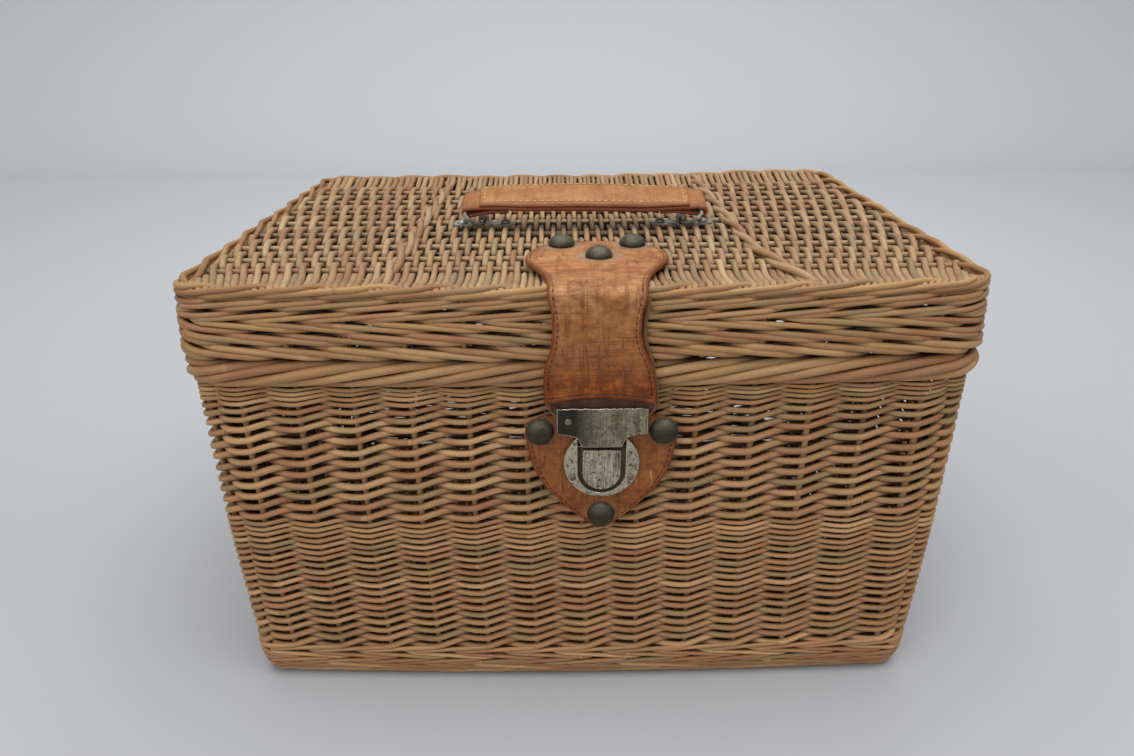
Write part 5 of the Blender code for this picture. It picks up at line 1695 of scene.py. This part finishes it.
        rows = [[seam(x, y) for x in np.linspace(-end, end, 40)] for y in (-inset, inset)]
        rows += [[seam(x, y) for y in np.linspace(-inset, inset, 8)] for x in (-end, end)]
        pitch, length, thick = self.stitch
        sewn = self.stitches.bake("grip_stitches", line_mesh("grip_stitches", rows, [False] * len(rows)),
                                  Pitch=pitch, Length=length, Thread=thick, Finish=thread)
        return [lower, upper, place_piece(sewn, "handle", "tan_leather")]


# --------------------------------------------------------------------------- hinge


@dataclass
class BackHinge:
    """The rod at the lid's lower back edge, and the willow loops that tie it to the border.

    The loop goes half round the rod and then through the given places from the rod's middle, in millimetres.
    """

    tubes: StrandTubes
    willow: Material
    y: float = 150.25 * MM
    z: float = 209.6 * MM
    half_length: float = 186 * MM
    radius: float = 4 * MM
    loops: tuple[float, ...] = mm(-95, 95)
    loop_round: float = 6.3 * MM
    loop_way: tuple = ((-6.9, -1), (-9.4, -5), (-11.4, -8.6), (-10.6, -11.2), (-7.5, -11.7), (2, -11.7),
                       (5.2, -10.6), (6.3, -6))
    loop_radius: float = 1.35 * MM

    def build(self) -> list[Piece]:
        """Makes the rod and the loops."""
        x = np.linspace(-self.half_length, self.half_length, 60)
        thick = np.array([self.radius * (0.96 + 0.04 * wobble(v * 14, 2.0, 7.0)) for v in x])
        rod = self.tubes.make("hinge_willow_rod", [Strand(stacked(x, self.y, self.z), thick, 0.3, False)], 16,
                              self.willow)
        made = [place_piece(rod, "lid", "willow_rods", "lid_hinge_rod")]
        path = [(self.y + self.loop_round * math.cos(a), self.z + self.loop_round * math.sin(a))
                for a in np.linspace(0, math.pi, 13)]
        path += [(self.y + y * MM, self.z + z * MM) for y, z in self.loop_way]
        y, z = np.array(path).T
        for name, middle in zip(("left", "right"), self.loops):
            strands = [Strand(stacked(middle + turn * 2.7 * MM, y, z), self.loop_radius, 0.5 + 0.2 * turn)
                       for turn in (-1, 0, 1)]
            ob = self.tubes.make(f"hinge_willow_loop_{name}", strands, 10, self.willow)
            made.append(place_piece(ob, "basket", "willow_rods", f"hinge_loop_{name}"))
        return made


# --------------------------------------------------------------------------- studio


@dataclass
class Studio:
    """Floor, backdrop, lamps and the camera at the photograph's viewing angle."""

    camera_at: tuple[float, ...] = mm(-10.1, -508.35, 353.6)
    pitch: float = math.radians(23.66)
    yaw: float = math.radians(-0.34)
    roll: float = math.radians(0.36)
    sensor: float = 36
    lens: float = 812.3 / 1134 * 36
    lamp_rows: tuple = (("top", (0.1, -0.2, 1.7), 1.6, 27.0), ("front", (-0.9, -1.5, 1.2), 1.0, 9.0))
    lamp_aim: tuple[float, float, float] = (0, 0, 0.1)
    world: tuple[float, float, float, float] = (0.98, 0.99, 1.0, 1)
    world_strength: float = 0.45

    def camera(self) -> None:
        """Places the camera."""
        pitch, yaw, roll = self.pitch, self.yaw, self.roll
        ahead = Vector((-math.sin(yaw) * math.cos(pitch), math.cos(yaw) * math.cos(pitch), -math.sin(pitch)))
        right = Vector((math.cos(yaw), math.sin(yaw), 0))
        down = ahead.cross(right)
        level = math.cos(roll) * right + math.sin(roll) * down
        plumb = -math.sin(roll) * right + math.cos(roll) * down
        data = bpy.data.cameras.new("camera")
        data.sensor_width, data.lens, data.clip_start = self.sensor, self.lens, 0.01
        ob = linked("camera", data)
        turn = Matrix((level, -plumb, -ahead)).transposed().to_4x4()
        ob.matrix_world = Matrix.Translation(self.camera_at) @ turn
        bpy.context.scene.camera = ob

    def stage(self, depth: float = 1.6, rise: float = 0.5) -> None:
        """Makes a floor that curves up into a backdrop some way behind, over a bend of the given rise."""
        nodes = Paint("studio paper")
        # Painted light: for camera and glossy rays the paper grows lighter from the front to the back; other rays see
        # an even mid grey.
        path = nodes.add("ShaderNodeLightPath").outputs
        seen = nodes.math("MAXIMUM", path["Is Camera Ray"], path["Is Glossy Ray"])
        back = nodes.add("ShaderNodeSeparateXYZ", {0: nodes.here()}).outputs[1]
        shown = nodes.mix(nodes.span(back, 0.0, 1.5, 0.0, 1.0), "b3b5b9", "e8ebee")
        paper = nodes.finish(color=nodes.mix(seen, (0.5, 0.5, 0.5, 1), shown), roughness=0.9, specular=0.1)
        work = bmesh.new()
        line = [(-3.0, 0.0), (depth, 0.0)]
        line += [(depth + rise * math.sin(a), rise - rise * math.cos(a)) for a in np.linspace(0.1, math.pi / 2, 12)]
        line.append((depth + rise, 3.5))
        left, right = ([work.verts.new((x, y, z)) for y, z in line] for x in (-5.0, 5.0))
        for k in range(len(line) - 1):
            work.faces.new((left[k], right[k], right[k + 1], left[k + 1]))
        dress(finished("floor", work), paper)

    def lamps(self) -> None:
        """Adds soft lamps and an even world."""
        for name, place, size, power in self.lamp_rows:
            data = bpy.data.lights.new(name, "AREA")
            data.size, data.energy = size, power
            ob = linked(name, data)
            ob.location = place
            ob.rotation_euler = (Vector(self.lamp_aim) - Vector(place)).to_track_quat("-Z", "Y").to_euler()
        world = bpy.data.worlds.new("studio")
        world.use_nodes = True
        back = world.node_tree.nodes["Background"]
        back.inputs[0].default_value, back.inputs[1].default_value = self.world, self.world_strength
        bpy.context.scene.world = world

    def build(self) -> None:
        """Sets the whole studio."""
        self.camera()
        self.stage()
        self.lamps()
        bpy.context.scene.view_settings.view_transform = "Standard"


def metals() -> dict[str, Material]:
    """All metal finishes by a short name. The edge of every plate has the bare one, whose lighter tone is worn metal
    and also a painted highlight.
    """
    rows = {
        "bronze": MetalFinish("dark bronze", base="3f3b2b", spot="1c1912", rust="54432b", roughness=0.44,
                              metallic=0.6, brushed=0.0, spots=0.3, scale=300.0, dust=0.45),
        "hasp": MetalFinish("hasp nickel", base="a0977f", roughness=0.28, brushed=0.6, spots=0.7, rust_share=0.6,
                            dark_left=2 * MM),
        "disc": MetalFinish("plate nickel", base="bdb59d", roughness=0.32, brushed=0.15, rust_share=0.6, spots=0.9,
                            murk=0.3, scale=330.0),
        # Lighter rounded edges: real worn metal, and also a painted highlight.
        "edge": MetalFinish("bare metal edge", base="d2ccb8", roughness=0.3, metallic=0.9, brushed=0.0, spots=0.75,
                            rust_share=0.3, scale=520.0),
        "push": MetalFinish("button nickel", base="c8c0a8", roughness=0.3, brushed=1.0, spots=0.8, murk=0.4),
        "steel": MetalFinish("dull steel", base="b3b0a6", roughness=0.42, metallic=0.7, brushed=0.1, spots=0.45),
        "pin": MetalFinish("dark rivets", base="8d8776", spots=0.8, scale=700.0),
        "rusty": MetalFinish("rusty case", base="6a5238", rust="5d3a20", rust_share=0.9, roughness=0.6,
                             metallic=0.4)}
    return {key: finish.material() for key, finish in rows.items()}


def leathers() -> dict[str, Material]:
    """All leather finishes by a short name."""
    on_lid = tuple(mm(x, y, 244, 12) for x, y in ((-10, -79.5), (28, -79.5), (9, -103.5)))
    in_front = tuple(mm(x, -152.4, z, 7.5) for x, z in ((-21.5, 169), (39.5, 169), (9, 121.3)))
    rows = {
        "tan": LeatherFinish("strap leather", fade=mm(94, 131), dusty=on_lid),
        "patch": LeatherFinish("patch leather", base="8d4f24", light="a66630", dark="4c2610", crease=0.6,
                               scratches=0.9, mottled=0.6, dusty=in_front),
        "dark": LeatherFinish("lining leather", base="5a3a27", light="6b4830", dark="301d13", rubbed="7a5638",
                              holes=0.0, crease=0.6),
        "grip": LeatherFinish("grip leather", base="a56f42", light="b68553", dark="75431f", rubbed="743826",
                              crease=0.4, crease_size=11 * MM, holes=0.0, scratches=0.4, mottled=0.35),
        "grip_low": LeatherFinish("grip base leather", base="9a6238", light="ae7a4a", dark="62361c",
                                  rubbed="692f20", crease=0.4, crease_size=11 * MM, holes=0.0, mottled=0.35)}
    return {key: finish.material() for key, finish in rows.items()}


def willows() -> list[Material]:
    """The willow of the walls, of the lid's top and of the rods."""
    rows = (WillowFinish("woven willow", ("9f7952", "b78d5f", "ad7d55", "caa170", "a5724e", "b48a5b", "957a55")),
            WillowFinish("lid top willow", ("a5855d", "b49670", "997551", "bfa278", "9f7855", "ac8b64", "8d7757"),
                         red="8e5742", grey="9a9072"),
            WillowFinish("willow rods", ("a87e54", "bb9163", "a3734e", "b58c5b", "986f48"), roughness=0.55))
    return [finish.material() for finish in rows]


def main() -> None:
    """Builds the basket and reports each piece."""
    logging.basicConfig(level=logging.INFO)
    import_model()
    Studio().build()
    metal, leather = metals(), leathers()
    willow, top, rods = willows()
    steel, bronze = metal["steel"], metal["bronze"]
    for part, sides, finish in (("handle_saddle", "left right", steel), ("handle_ring", "left right", steel),
                                ("strap_burr", "left middle right", bronze),
                                ("patch_burr", "left right low", bronze)):
        for side in sides.split():
            dress(bpy.data.objects[f"{part}_{side}"], finish)
    tubes, plan, lock = StrandTubes(), Plan(), PushLock()
    body_wall, lid_wall = BodyWall(plan), LidWall(plan, steps=6)
    pieces = [*FrontStrap().build(leather["tan"], leather["dark"]), *LockPatch().build(leather["patch"]),
              *lock.hasp(metal["hasp"]), *lock.plates(metal["disc"], metal["rusty"]),
              *lock.push_button(metal["push"]), lock.spring(tubes, steel),
              *nails_and_rivets(Fasteners(), bronze, metal["pin"], steel),
              *CarryHandle(StitchRows()).build(leather["grip_low"], leather["grip"],
                                               ThreadFinish("waxed thread").material()),
              *BackHinge(tubes, rods).build(), *WovenBody(body_wall, tubes, willow).build(),
              *RolledBorder(plan, tubes, rods).build(), *Base(body_wall, tubes, willow).build(),
              *LidSkirt(lid_wall, tubes, rods).build(), *LidTop(lid_wall, tubes, top).build()]
    for piece in pieces:
        LOG.info("%s: %d faces", piece.name, len(piece.data.polygons))


if __name__ == "__main__":
    main()
